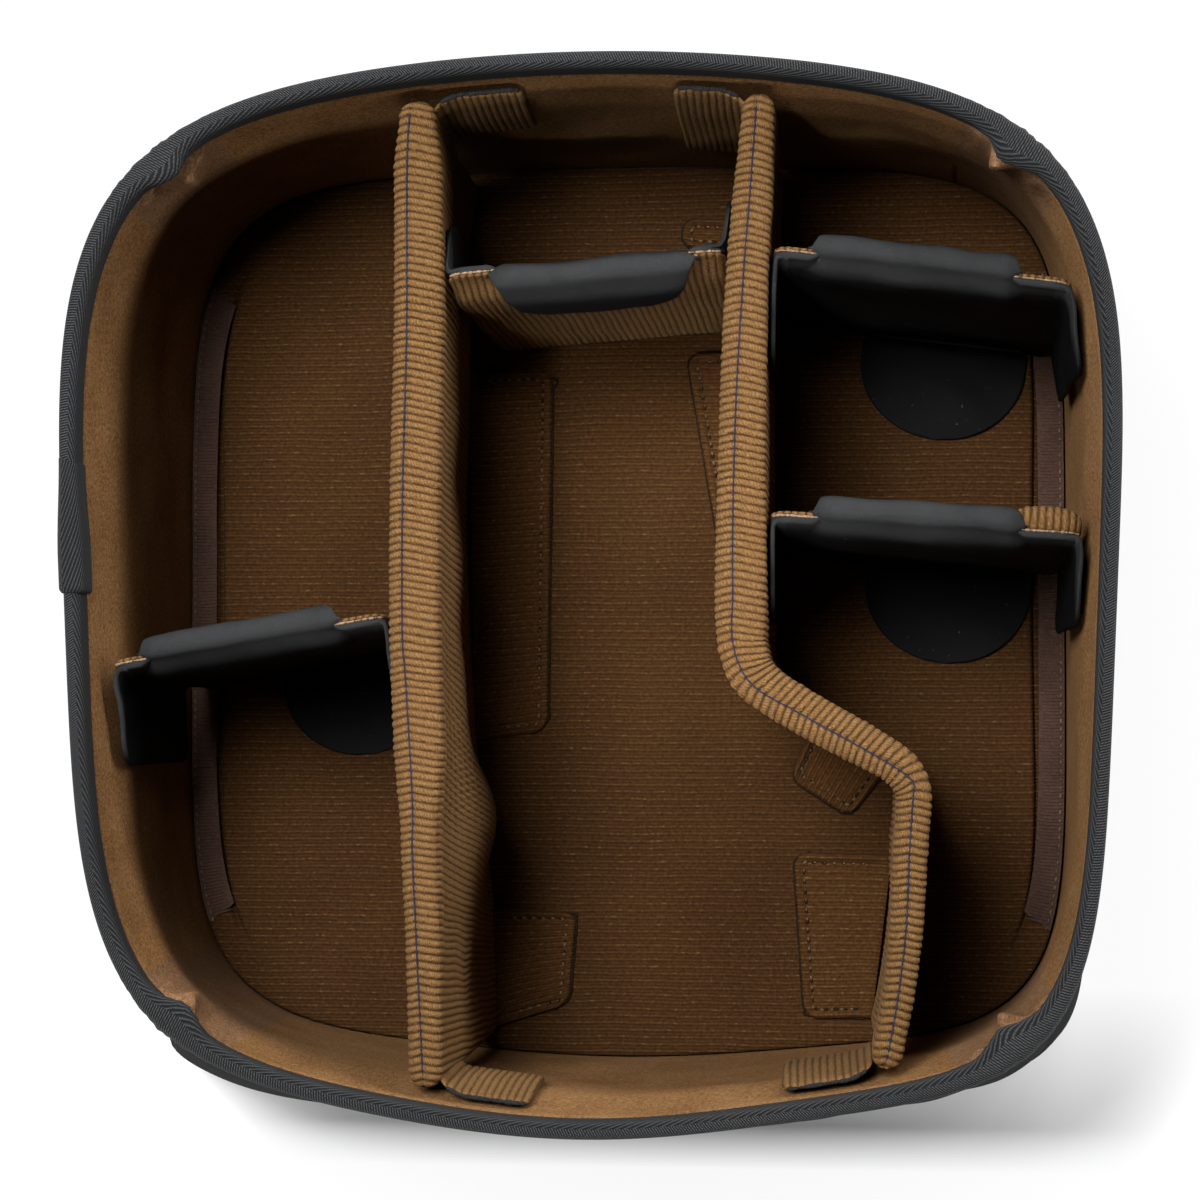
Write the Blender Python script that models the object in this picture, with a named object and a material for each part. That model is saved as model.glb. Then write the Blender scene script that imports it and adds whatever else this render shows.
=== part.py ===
"""Padded camera bag insert: an open, soft-walled box with six dividers that lift out.

Metres, +Z up. The opening faces up, +Y is the back, and the origin lies under the middle
of the base. A section is a closed list of points, and a body is swept through its sections.
"""

import math

import bmesh
import bpy
from mathutils import Matrix, Vector

# Driving dimensions
rim_width = 0.289
rim_length = 0.297
height = 0.140
base_width = 0.291
base_length = 0.2976
wall_thickness = 0.0065
base_wall_thickness = 0.0050
long_divider_thickness = 0.0140
short_divider_thickness = 0.0050
# How far below the rim the dividers end
long_divider_drop = 0.0120
short_divider_drop = 0.0159

# Clearances
fit = 0.0003
seat_clearance = 0.0004
end_clearance = 0.0008
fold_clearance = 0.0009
corner_clearance = 0.0006

# Shell layers
skin_thickness = 0.0010
lining_thickness = 0.0012
binding_thickness = 0.0012
binding_leg = 0.0095
binding_step_height = 0.0030
base_skin_thickness = 0.0012
base_foam_thickness = 0.0067
floor_lining_thickness = 0.0012
tape_width = 0.0080
tape_thickness = 0.0008
tape_clearance = 0.0007
# How much of the wall's first and last steps a seam tape leaves bare
tape_end_share = 0.45

# Corner tucks
tuck_depth = 0.0060
tuck_height = 0.0400
tuck_width_share = 0.32

# How far the front and back walls bow out between their corners
rim_back_bow = 0.0055
rim_front_bow = 0.0101
base_back_bow = 0.0015
base_front_bow = 0.0030
floor_front_bow = 0.0060
# How much further forward the base's outside stands than the floor inside
base_forward = 0.0028
# How far the front wall's outer cloth bellies out between the base and the binding
front_belly = 0.0080
# The rim is this share wider towards the back
rim_taper_share = 0.049
# How square each corner is, anticlockwise from back right: 2 is an ellipse
rim_powers = (3.8, 3.75, 4.3, 5.5)
base_powers = (9.0, 9.0, 30.0, 10.0)
floor_powers = (6.0, 5.5, 5.5, 6.0)
quarter_turn = math.pi / 2
corner_half_angle = math.radians(5.5)
sharp_angle = math.radians(35.0)
side_steps = 10
corner_steps = 6
# How high the wall's middle level lies, from the floor to the binding
wall_level_share = 0.62
# Where the binding's rounded top begins and ends across it
binding_crown_share = 0.3

# Long dividers
cover_thickness = 0.0015
cover_top_radius = 0.0040
buckle_depth = 0.0085
buckle_height = 0.0600
buckle_length = 0.0200
buckle_place_share = -0.512
buckle_level_share = 0.52
path_steps = 22
curve_steps = 12
side_levels = 4
# Where each runs, from back to front, as shares of half the clear width and length
left_path_shares = (
    (-0.347, 0.910),
    (-0.345, 0.554),
    (-0.352, 0.220),
    (-0.352, -0.073),
    (-0.343, -0.314),
    (-0.340, -0.523),
    (-0.331, -0.732),
    (-0.327, -0.941),
)
right_path_shares = (
    (0.342, 0.847),
    (0.328, 0.655),
    (0.320, 0.404),
    (0.316, 0.136),
    (0.315, -0.063),
    (0.321, -0.125),
    (0.348, -0.183),
    (0.436, -0.246),
    (0.568, -0.321),
    (0.630, -0.361),
    (0.657, -0.403),
    (0.659, -0.450),
    (0.653, -0.533),
    (0.644, -0.693),
    (0.629, -0.823),
    (0.607, -0.941),
)
# How thick each is along its run: (place along it, top, left foot, right foot), as shares
left_girth_shares = (
    (1.00, 0.74, 0.74, 0.10),
    (0.90, 0.96, 0.96, -0.20),
    (0.31, 1.00, 1.00, -0.28),
    (-0.29, 1.00, 0.90, 0.00),
    (-0.52, 0.74, 0.66, 0.40),
    (-0.75, 0.70, 0.60, 0.62),
    (-1.00, 0.66, 0.50, 0.70),
)
right_girth_shares = (
    (1.00, 0.66, 0.40, 0.50),
    (0.78, 0.80, 0.40, 0.60),
    (0.42, 0.90, 0.40, 0.70),
    (0.00, 1.00, 0.45, 0.80),
    (-0.26, 0.86, 0.55, 0.70),
    (-0.44, 0.68, 0.50, 0.60),
    (-1.00, 0.58, 0.45, 0.50),
)

# Fabric tabs of the long dividers
tab_thickness = 0.0016
end_tab_width = 0.0240
end_tab_height = 0.0370
end_tab_drop = 0.0030
tall_tab_width = 0.0190
tall_tab_height = 0.0700
tab_corner_radius = 0.0050
# How much of a floor tab's outer edge one of its round corners takes at most
tab_corner_share = 0.45
floor_tab_width = 0.0260
# Each floor tab: where its fold starts and ends along the run, then its widths and slants at both ends
left_floor_tab_shares = {
    "long": ((0.575, -0.314), (1.00, 0.85), (0.00, 0.08)),
    "front": ((-0.717, -0.999), (1.00, 0.85), (0.08, 0.23)),
}
right_floor_tab_shares = {
    "back": ((0.935, 0.850), (0.92, 0.92), (0.04, 0.04)),
    "middle": ((0.617, 0.136), (0.77, 0.31), (0.04, 0.04)),
    "bend": ((-0.288, -0.392), (0.65, 0.69), (0.08, 0.08)),
    "front": ((-0.586, -0.972), (1.15, 0.77), (0.12, -0.12)),
}

# Short dividers
facing_thickness = 0.0010
panel_corner_radius = 0.0060
grip_width = 0.0530
grip_thickness = 0.0016
grip_front_width = 0.0600
grip_back_width = 0.0380
grip_front_drop = 0.0120
grip_back_drop = 0.0200
grip_offset = 0.0020
flange_thickness = 0.0016
flange_width = 0.0220
flange_drop = 0.0060
flange_height = 0.0740
flange_corner_radius = 0.0080
# How wide each divider's left and right flanges are
flange_width_shares = {
    "centre_divider": (0.70, 0.70),
    "left_bay_divider": (1.00, 1.05),
    "back_bay_divider": (1.15, 0.82),
    "middle_bay_divider": (1.00, 0.86),
}
tongue_thickness = 0.0010
tongue_width = 0.0520
tongue_length = 0.0290
tongue_offset = 0.0105
tongue_round_share = 0.9
arc_steps = 4
# Where each one's left and right ends stand, as shares of half the clear length
short_divider_shares = {
    "centre_divider": (0.664, 0.708),
    "left_bay_divider": (-0.182, -0.078),
    "back_bay_divider": (0.686, 0.604),
    "middle_bay_divider": (0.130, 0.086),
}

# Heights worked out from the layers
skin_top = base_skin_thickness
foam_bottom = skin_top + fit
foam_top = foam_bottom + base_foam_thickness
lining_bottom = foam_top + fit
floor_top = lining_bottom + floor_lining_thickness
tape_bottom = floor_top + fit
tape_top = tape_bottom + tape_thickness
wall_top = height - binding_thickness - fit
binding_bottom = height - binding_leg
divider_foot = floor_top + fit
divider_top = height - long_divider_drop
half_divider = long_divider_thickness / 2
panel_foot = tape_top + fit
panel_top = height - short_divider_drop
short_divider_height = panel_top - panel_foot
black_face = fit + facing_thickness

# Each outline is (half width, half length without its bows, back bow, front bow, corner powers)
rim_inset = binding_thickness + fit
rim_bows = (rim_back_bow, rim_front_bow)
base_bows = (base_back_bow, base_front_bow)
floor_bows = (base_back_bow, floor_front_bow)
middle_y = (rim_front_bow - rim_back_bow) / 2


def outline(width, length, inset, bows, powers):
    return (width / 2 - inset, (length - sum(bows)) / 2 - inset, *bows, powers)


rim_outline = outline(rim_width, rim_length, rim_inset, rim_bows, rim_powers)
rim_inner_outline = outline(rim_width, rim_length, rim_inset + wall_thickness, rim_bows, rim_powers)
base_outline = outline(base_width, base_length, 0, base_bows, base_powers)
floor_half_width = base_outline[0] - base_wall_thickness
floor_half_length = base_outline[1] - base_wall_thickness - base_forward
floor_outline = (floor_half_width, floor_half_length, *floor_bows, floor_powers)
# Half the width and length that lie clear of the walls at every level
run_half = [min(floor, rim) for floor, rim in zip(floor_outline[:2], rim_inner_outline[:2])]

colours = {
    "coated_skin": ((0.020, 0.020, 0.021), 0.45),
    "twill_binding": ((0.035, 0.037, 0.038), 0.75),
    "foam": ((0.12, 0.12, 0.12), 0.95),
    "velour": ((0.42, 0.18, 0.06), 0.95),
    "loop_fabric": ((0.20, 0.09, 0.025), 0.95),
    "seam_tape": ((0.12, 0.055, 0.035), 0.80),
    "ribbed_cover": ((0.45, 0.21, 0.07), 0.90),
    "coated_sheet": ((0.022, 0.023, 0.024), 0.55),
}


def clear_scene():
    for old in list(bpy.data.objects):
        bpy.data.objects.remove(old, do_unlink=True)


def finish_material(name):
    colour, roughness = colours[name]
    material = bpy.data.materials.get(name) or bpy.data.materials.new(name)
    material.use_nodes = True
    shader = material.node_tree.nodes["Principled BSDF"]
    shader.inputs["Base Color"].default_value = (*colour, 1.0)
    shader.inputs["Roughness"].default_value = roughness
    shader.inputs["Metallic"].default_value = 0.0
    return material


def cap(shape, row, fanned):
    """Closes one end of a body, in one face or in a fan of faces about its middle."""
    if not fanned:
        shape.faces.new(row)
        return
    middle = shape.verts.new(sum((vertex.co for vertex in row), Vector()) / len(row))
    for a, b in zip(row, row[1:] + row[:1]):
        shape.faces.new((a, b, middle))


def swept(name, sections, finish, closed=False, fanned=False, parent=None, place=None):
    """One closed body through a row of sections, joined end to end or capped at both ends."""
    mesh = bpy.data.meshes.new(name)
    shape = bmesh.new()
    rows = [[shape.verts.new(point) for point in section] for section in sections]
    pairs = list(zip(rows, rows[1:]))
    if closed:
        pairs.append((rows[-1], rows[0]))
    else:
        cap(shape, rows[0], fanned)
        cap(shape, rows[-1], fanned)
    for row, following in pairs:
        for n in range(len(row)):
            a, b = row[n], row[(n + 1) % len(row)]
            d, c = following[n], following[(n + 1) % len(row)]
            # Each four-sided patch is split from its lower corner, so that layers lie parallel
            corners = ((a, b, c), (a, c, d)) if a.co.z <= b.co.z else ((a, b, d), (b, c, d))
            for three in corners:
                shape.faces.new(three)
    bmesh.ops.recalc_face_normals(shape, faces=shape.faces)
    shape.to_mesh(mesh)
    shape.free()
    mesh.shade_smooth()
    mesh.set_sharp_from_angle(angle=sharp_angle)
    mesh.materials.append(finish_material(finish))
    piece = bpy.data.objects.new(name, mesh)
    bpy.context.collection.objects.link(piece)
    if place is not None:
        piece.matrix_local = place
    if parent is not None:
        piece.parent = parent
    return piece


def empty_at(name, matrix):
    """The frame that a divider's pieces are parented to. It isn't a piece itself."""
    frame = bpy.data.objects.new(name, None)
    bpy.context.collection.objects.link(frame)
    frame.matrix_world = matrix
    bpy.context.view_layer.update()
    return frame


def placed(point, angle):
    """A frame at a point, turned about the vertical."""
    return Matrix.Translation(point) @ Matrix.Rotation(angle, 4, "Z")


def mixed(start, end, share):
    return start + (end - start) * share


def eased(value):
    """0 below 0, 1 above 1, and smooth between."""
    value = min(1.0, max(0.0, value))
    return value * value * (3 - 2 * value)


# The shell's outline


def outline_radius(shape, angle):
    """Distance from the middle to a rounded square with bowed ends and unlike corners."""
    half_width, half_length, back_bow, front_bow, powers = shape
    power = powers[int((angle % (4 * quarter_turn)) // quarter_turn)]
    across = abs(math.cos(angle) / half_width) ** power
    along = abs(math.sin(angle) / half_length) ** power
    facing_end = max(0.0, -math.cos(2 * angle)) ** 2
    bow = back_bow if math.sin(angle) > 0 else front_bow
    return (across + along) ** (-1 / power) + bow * facing_end


def belly(angle, level):
    front = max(0.0, -math.cos(2 * angle)) if math.sin(angle) < 0 else 0.0
    share = min(1.0, level / binding_bottom)
    return front_belly * math.sqrt(front) * 4 * share * (1 - share)


def outer_radius(angle, level):
    base = outline_radius(base_outline, angle) - base_forward * math.sin(angle)
    rim = outline_radius(rim_outline, angle)
    return mixed(base, rim, level / height) + belly(angle, level)


def inner_radius(angle, level):
    """The lining's face. It is pressed back under the binding, which then lies flush."""
    base = outline_radius(floor_outline, angle)
    rim = outline_radius(rim_inner_outline, angle)
    pressed = eased((level - binding_bottom + binding_step_height) / binding_step_height)
    return mixed(base, rim, level / height) + layer_step(rim_inset, angle) * pressed


def layer_step(thickness, angle):
    """How far a layer reaches along the radius, so that it is about as thick all round."""
    return thickness / max(abs(math.cos(angle)), abs(math.sin(angle)))


def corner_angle(corner):
    base = math.atan2(rim_length, rim_width)
    return (base, 2 * quarter_turn - base, 2 * quarter_turn + base, 4 * quarter_turn - base)[corner]


def side_angles(side):
    """Angles along one wall, anticlockwise from its corner. Side 0 is the back wall."""
    start = corner_angle(side) + corner_half_angle
    end = corner_angle((side + 1) % 4) - corner_half_angle
    if end < start:
        end += 4 * quarter_turn
    return [mixed(start, end, n / side_steps) for n in range(side_steps + 1)]


def corner_angles(corner):
    middle = corner_angle(corner)
    steps = range(corner_steps + 1)
    return [mixed(middle - corner_half_angle, middle + corner_half_angle, n / corner_steps) for n in steps]


def all_angles():
    """Angles all round, with the same steps as the pieces of the walls and corners."""
    angles = []
    for side in range(4):
        angles += corner_angles(side)[:-1]
        angles += side_angles(side)[:-1]
    return angles


def at(angle, radius, level):
    """A point of the shell. The rim widens towards the back, and the base doesn't."""
    y = radius * math.sin(angle)
    widening = 1 + rim_taper_share * (level / height) * y / (rim_length / 2)
    return Vector((radius * math.cos(angle) * widening, middle_y + y, level))


def inset_ends(angles, gap):
    """The same angles with both ends drawn in by a gap, measured at the rim."""
    shift = gap / outline_radius(rim_outline, angles[0])
    return [angles[0] + shift] + angles[1:-1] + [angles[-1] - shift]


def wall_section(angle, outer, inner):
    """A closed section of one wall layer: up its outer face and down its inner face."""
    rising = [at(angle, outer(angle, level), level) for level in wall_levels]
    falling = [at(angle, inner(angle, level), level) for level in reversed(wall_levels)]
    return rising + falling


# Every layer has the same levels, so that the layers lie parallel between them
wall_levels = (
    foam_bottom,
    tape_top,
    mixed(foam_bottom, binding_bottom, wall_level_share),
    binding_bottom - binding_step_height,
    binding_bottom,
    wall_top,
)


def skin_inner(angle, level):
    return outer_radius(angle, level) - layer_step(skin_thickness, angle)


def foam_outer(angle, level):
    return outer_radius(angle, level) - layer_step(skin_thickness + fit, angle)


def tuck_outer(angle, level):
    return outer_radius(angle, level) - layer_step(skin_thickness + corner_clearance, angle)


def foam_inner(angle, level):
    return inner_radius(angle, level) + layer_step(lining_thickness + fit, angle)


def lining_outer(angle, level):
    return inner_radius(angle, level) + layer_step(lining_thickness, angle)


def tucked_radius(angle, level):
    """The corner's lining, pinched inwards along the corner just under the binding."""
    corner = min(range(4), key=lambda n: abs(corner_angle(n) - angle))
    across = (angle - corner_angle(corner)) / (corner_half_angle * tuck_width_share)
    fade = eased((level - binding_bottom + tuck_height) / tuck_height)
    under = 1 - eased((level - binding_bottom + binding_step_height) / binding_step_height)
    return inner_radius(angle, level) - tuck_depth * math.exp(-across * across) * fade * under


def make_walls():
    swept(
        "wall_skin",
        [wall_section(angle, outer_radius, skin_inner) for angle in all_angles()],
        "coated_skin",
        closed=True,
    )
    for side, name in enumerate(("back", "left", "front", "right")):
        angles = inset_ends(side_angles(side), fit)
        foam = [wall_section(angle, foam_outer, foam_inner) for angle in angles]
        swept("wall_foam_" + name, foam, "foam")
        lining = [wall_section(angle, lining_outer, inner_radius) for angle in angles]
        swept("wall_lining_" + name, lining, "velour")
    for corner, name in enumerate(("back_right", "back_left", "front_left", "front_right")):
        angles = corner_angles(corner)
        tuck = [wall_section(angle, tuck_outer, tucked_radius) for angle in angles]
        swept("corner_tuck_" + name, tuck, "velour")


def make_binding():
    """Twill tape folded over the rim: an outer leg, a rounded top and an inner leg."""
    sections = []
    crown = binding_thickness / 2
    for angle in all_angles():
        outside = layer_step(fit + binding_thickness, angle)
        inside = layer_step(fit, angle)
        low, high = binding_bottom, wall_top
        outer_face = outer_radius(angle, high) + outside
        inner_face = inner_radius(angle, high) - outside
        section = [
            at(angle, outer_radius(angle, low) + outside, low),
            at(angle, outer_face, height - binding_thickness - crown),
            at(angle, outer_face - layer_step(crown, angle), height - crown / 2),
            at(angle, mixed(outer_face, inner_face, binding_crown_share), height),
            at(angle, mixed(inner_face, outer_face, binding_crown_share), height),
            at(angle, inner_face + layer_step(crown, angle), height - crown / 2),
            at(angle, inner_face, height - binding_thickness - crown),
            at(angle, inner_radius(angle, low) - outside, low),
            at(angle, inner_radius(angle, low) - inside, low),
            at(angle, inner_radius(angle, high) - inside, wall_top + fit),
            at(angle, outer_radius(angle, high) + inside, wall_top + fit),
            at(angle, outer_radius(angle, low) + inside, low),
        ]
        sections.append(section)
    swept("rim_binding", sections, "twill_binding", closed=True)


def floor_radius(angle, level):
    """The floor's edge, clear of the walls and the corner tucks at every level it fills."""
    return min(inner_radius(angle, level), inner_radius(angle, foam_bottom)) - layer_step(fit, angle)


def make_base():
    angles = all_angles()
    bottom = [at(angle, outer_radius(angle, 0), 0) for angle in angles]
    top = [at(angle, outer_radius(angle, skin_top), skin_top) for angle in angles]
    swept("base_skin", [bottom, top], "coated_skin", fanned=True)
    layers = (
        ("base_foam", foam_bottom, foam_top, "foam"),
        ("floor_lining", lining_bottom, floor_top, "loop_fabric"),
    )
    for name, low, high, finish in layers:
        rings = [[at(angle, floor_radius(angle, high), level) for angle in angles] for level in (low, high)]
        swept(name, rings, finish, fanned=True)


def make_seam_tapes():
    for name, side in (("left", 1), ("right", 3)):
        sections = []
        for angle in side_angles(side):
            outside = inner_radius(angle, tape_top) - layer_step(tape_clearance, angle)
            inside = outside - layer_step(tape_width, angle)
            corners = ((inside, tape_bottom), (outside, tape_bottom), (outside, tape_top), (inside, tape_top))
            sections.append([at(angle, radius, level) for radius, level in corners])
        for end, next_one in ((0, 1), (-1, -2)):
            pairs = zip(sections[end], sections[next_one])
            sections[end] = [a.lerp(b, tape_end_share) for a, b in pairs]
        swept("seam_tape_" + name, sections, "seam_tape")


# Where the shell's inner faces lie, for what stands between them


def inner_line(level, inset):
    return [at(angle, inner_radius(angle, level) - layer_step(inset, angle), level) for angle in all_angles()]


# The lining's face at the floor and under the binding, and the binding's face at the rim
inner_lines = (
    inner_line(tape_top, 0),
    inner_line(binding_bottom - binding_step_height, 0),
    inner_line(wall_top, rim_inset),
)


def wall_reach(place, along, side):
    """The inner wall's x at a y (along 1) or its y at an x (along 0), where the wall is narrowest."""
    other = 1 - along
    reaches = []
    for line in inner_lines:
        for a, b in zip(line, line[1:] + line[:1]):
            if min(a[along], b[along]) <= place < max(a[along], b[along]) and side * a[other] > 0:
                reaches.append(mixed(a[other], b[other], (place - a[along]) / (b[along] - a[along])))
    return side * min(abs(reach) for reach in reaches)


def wall_x(y, side):
    return wall_reach(y, 1, side)


def wall_y(x, side):
    return wall_reach(x, 0, side)


# Long dividers


def run_between_walls(shares):
    """A smooth run from the back wall to the front wall through the given places."""
    points = [Vector((x * run_half[0], y * run_half[1])) for x, y in shares]
    ends = []
    for last, before, side in ((points[0], points[1], 1), (points[-1], points[-2], -1)):
        y = wall_y(last.x, side) - side * end_clearance
        ends.append(Vector((last.x + (last.x - before.x) * (y - last.y) / (last.y - before.y), y)))
    return spaced(curved([ends[0]] + points + [ends[1]]), path_steps)


def girth_at(girths, y):
    """Half the thickness at the top, the left foot's and the right foot's reach, at a place along."""
    place = max(-1.0, min(1.0, y / run_half[1]))
    for first, second in zip(girths, girths[1:]):
        if second[0] <= place <= first[0]:
            share = eased((place - first[0]) / (second[0] - first[0]))
            return [mixed(a, b, share) * half_divider for a, b in zip(first[1:], second[1:])]
    return [value * half_divider for value in girths[-1][1:]]


def curved(points):
    """Many points on a Catmull-Rom curve through the given ones."""
    ends = [points[0] * 2 - points[1]] + points + [points[-1] * 2 - points[-2]]
    fine = []
    for a, b, c, d in zip(ends, ends[1:], ends[2:], ends[3:]):
        for n in range(curve_steps):
            t = n / curve_steps
            square = (a * 2 - b * 5 + c * 4 - d) * t ** 2
            cube = (b * 3 - a - c * 3 + d) * t ** 3
            fine.append((b * 2 + (c - a) * t + square + cube) / 2)
    return fine + [points[-1]]


def spaced(points, steps):
    """Points at even distances along a fine polyline."""
    lengths = [0.0]
    for a, b in zip(points, points[1:]):
        lengths.append(lengths[-1] + (b - a).length)
    even = []
    n = 0
    for step in range(steps + 1):
        goal = lengths[-1] * step / steps
        while n < len(points) - 2 and lengths[n + 1] < goal:
            n += 1
        even.append(points[n].lerp(points[n + 1], (goal - lengths[n]) / (lengths[n + 1] - lengths[n])))
    return even


def normal_at(path, n):
    """Square to a path that runs from back to front, on its +X side. At its ends, along the wall."""
    before = path[max(0, n - 1)]
    after = path[min(len(path) - 1, n + 1)]
    step = (after - before).normalized()
    normal = Vector((-step.y, step.x))
    if 0 < n < len(path) - 1:
        return normal
    side = 1 if n == 0 else -1
    low, high = (path[n].x + shift for shift in (-half_divider, half_divider))
    wall = Vector((high - low, wall_y(high, side) - wall_y(low, side))).normalized()
    return wall / wall.dot(normal)


def crossing(line, y):
    """Where a line that runs from back to front crosses a given y."""
    for a, b in zip(line, line[1:]):
        if b.y <= y <= a.y:
            return mixed(a.x, b.x, (y - a.y) / (b.y - a.y))
    return line[0].x if y > line[0].y else line[-1].x


def offset_line(path, girths, reach, side, room=0):
    """One side of a divider in plan: reach 0 is its top, 1 its left foot and 2 its right foot."""
    return [p + normal_at(path, n) * side * (girth_at(girths, p.y)[reach] + room) for n, p in enumerate(path)]


def cover_profile(girth, inset, buckle):
    """A cover's outline, drawn in by an inset: (offset from the path, height), right foot first."""
    half, left_foot, right_foot = girth
    shoulder = divider_top - cover_top_radius
    radius = cover_top_radius - inset
    corner = half - cover_top_radius
    middle = mixed(divider_foot, shoulder, buckle_level_share)

    def share(level):
        return (level - divider_foot) / (shoulder - divider_foot)

    def right_side(level):
        bulge = buckle * math.exp(-(((level - middle) / (buckle_height / 2)) ** 2)) * (1 - share(level))
        return mixed(right_foot, half, share(level)) - inset + bulge

    def left_side(level):
        return inset - mixed(left_foot, half, share(level))

    levels = [mixed(divider_foot, shoulder, n / side_levels) for n in range(side_levels + 1)]
    rising = [(right_side(level), level) for level in levels]
    crown = []
    for step in range(1, arc_steps + 1):
        turn = quarter_turn * step / arc_steps
        crown.append((corner + radius * math.cos(turn), shoulder + radius * math.sin(turn)))
    for step in range(arc_steps):
        turn = quarter_turn * (1 + step / arc_steps)
        crown.append((radius * math.cos(turn) - corner, shoulder + radius * math.sin(turn)))
    falling = [(left_side(level), level) for level in reversed(levels)]
    return rising + crown + falling


def divider_section(path, n, profile):
    across = normal_at(path, n)
    return [(path[n] + across * offset).to_3d() + Vector((0, 0, level)) for offset, level in profile]


def make_long_divider(name, path, girths, buckled):
    """A folded, ribbed cover, open below, over a foam core. The frame is on its lifting axis."""
    middle = path[len(path) // 2]
    frame = empty_at(name + "_lift", Matrix.Translation((middle.x, middle.y, divider_foot)))
    place = frame.matrix_world.inverted()
    cover = []
    core = []
    for n, point in enumerate(path):
        away = (point.y - buckle_place_share * run_half[1]) / buckle_length
        buckle = buckle_depth * math.exp(-away * away) * buckled
        girth = girth_at(girths, point.y)
        outside = cover_profile(girth, 0, buckle)
        inside = cover_profile(girth, cover_thickness, buckle)
        cover.append(divider_section(path, n, outside + inside[::-1]))
        core.append(divider_section(path, n, cover_profile(girth, cover_thickness + fit, 0)))
    for part, sections, finish in (("cover", cover, "ribbed_cover"), ("core", core, "foam")):
        own = [[place @ point for point in section] for section in sections]
        swept(name + "_" + part, own, finish, parent=frame)
    return frame


# Flat tabs: outlines with round corners, and the two ways that they stand


def rounded(corners):
    """An outline with each (x, y, radius) corner cut by an arc."""
    points = []
    for n, (x, y, radius) in enumerate(corners):
        here = Vector((x, y))
        if radius == 0:
            points.append(here)
            continue
        to_last = (Vector(corners[n - 1][:2]) - here).normalized()
        to_next = (Vector(corners[(n + 1) % len(corners)][:2]) - here).normalized()
        half = to_last.angle(to_next) / 2
        reach = radius / math.tan(half)
        centre = here + (to_last + to_next).normalized() * (radius / math.sin(half))
        start = here + to_last * reach - centre
        turn = start.angle_signed(here + to_next * reach - centre)
        for step in range(arc_steps + 1):
            points.append(centre + Matrix.Rotation(-turn * step / arc_steps, 2) @ start)
    return points


def upright_tab(name, corners, thickness, finish, parent, place):
    """A sheet that stands on edge. Its outline is (away from the fold, up), its fold the Z axis."""
    outline = rounded(corners)
    faces = [[Vector((x, depth, z)) for x, z in outline] for depth in (-thickness / 2, thickness / 2)]
    return swept(name, faces, finish, parent=parent, place=place)


def floor_tab(name, corners, thickness, finish, parent, place):
    """A sheet that lies on the floor. Its fold is the X axis and it reaches along +Y."""
    outline = rounded(corners)
    faces = [[Vector((x, y, level)) for x, y in outline] for level in (-thickness / 2, thickness / 2)]
    return swept(name, faces, finish, parent=parent, place=place)


def turned(direction):
    return math.atan2(direction.y, direction.x)


def end_tab(name, frame, path, girths, end, side, wide, tall):
    """Folds out of a long divider's end and lies on the shell's front or back wall."""
    here = path[0] if end > 0 else path[-1]
    root_offset = girth_at(girths, here.y)[0] + fold_clearance
    x = here.x + side * root_offset
    far_x = x + side * wide
    inset = seat_clearance + tab_thickness / 2
    root = Vector((x, wall_y(x, end) - end * inset, divider_top - end_tab_drop - tall))
    tip = Vector((far_x, wall_y(far_x, end) - end * inset))
    place = frame.matrix_world.inverted() @ placed(root, turned(tip - root.to_2d()))
    corners = ((0, 0, 0), (wide, 0, tab_corner_radius), (wide, tall, tab_corner_radius), (0, tall, 0))
    upright_tab(name, corners, tab_thickness, "ribbed_cover", frame, place)


def foot_tab(name, frame, path, girths, side, ends, widths, slants):
    """Folds out of a long divider's foot along a stretch of its run."""
    start, finish = (y * run_half[1] for y in ends)
    foot = offset_line(path, girths, 2 if side > 0 else 1, side, fold_clearance)
    chord = (crossing(foot, start), crossing(foot, finish))
    bow = 0
    for point in foot:
        if finish <= point.y <= start:
            bow = max(bow, side * (point.x - mixed(*chord, (point.y - start) / (finish - start))))
    a = Vector((chord[0] + side * bow, start))
    b = Vector((chord[1] + side * bow, finish))
    if side < 0:
        a, b = b, a
        widths = widths[::-1]
        slants = slants[::-1]
    run = (b - a).length
    near, far = (share * floor_tab_width for share in widths)
    level = divider_foot + tab_thickness / 2
    place = frame.matrix_world.inverted() @ placed(a.to_3d() + Vector((0, 0, level)), turned(b - a))
    near_corner = Vector((slants[0] * floor_tab_width, near))
    far_corner = Vector((run - slants[1] * floor_tab_width, far))
    radius = min(tab_corner_radius, (far_corner - near_corner).length * tab_corner_share)
    corners = ((0, 0, 0), (run, 0, 0), (*far_corner, radius), (*near_corner, radius))
    floor_tab(name, corners, tab_thickness, "ribbed_cover", frame, place)


# Short dividers


def upright_panel(start, end, top, radius):
    """The outline of a panel's face with its two upper corners rounded."""
    return rounded(((start, 0, 0), (end, 0, 0), (end, top, radius), (start, top, radius)))


def panel_ends(frame, depth, edges, facing):
    """Where a panel starts and ends at a depth behind its face, clear of its two neighbours."""
    inner = frame.matrix_world.inverted()
    ends = []
    for edge, y, side in edges:
        level_y = y + facing * depth
        ends.append((inner @ Vector((edge(level_y) + side * end_clearance, level_y, panel_foot))).x)
    return sorted(ends)


def slab(name, near, far, edges, facing, finish, frame):
    """A flat layer of a panel, from one depth to another, its ends cut along its neighbours."""
    faces = []
    for depth in (near, far):
        start, end = panel_ends(frame, depth, edges, facing)
        outline = upright_panel(start, end, short_divider_height, panel_corner_radius)
        faces.append([Vector((x, depth, z)) for x, z in outline])
    swept(name, faces, finish, parent=frame)


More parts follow.
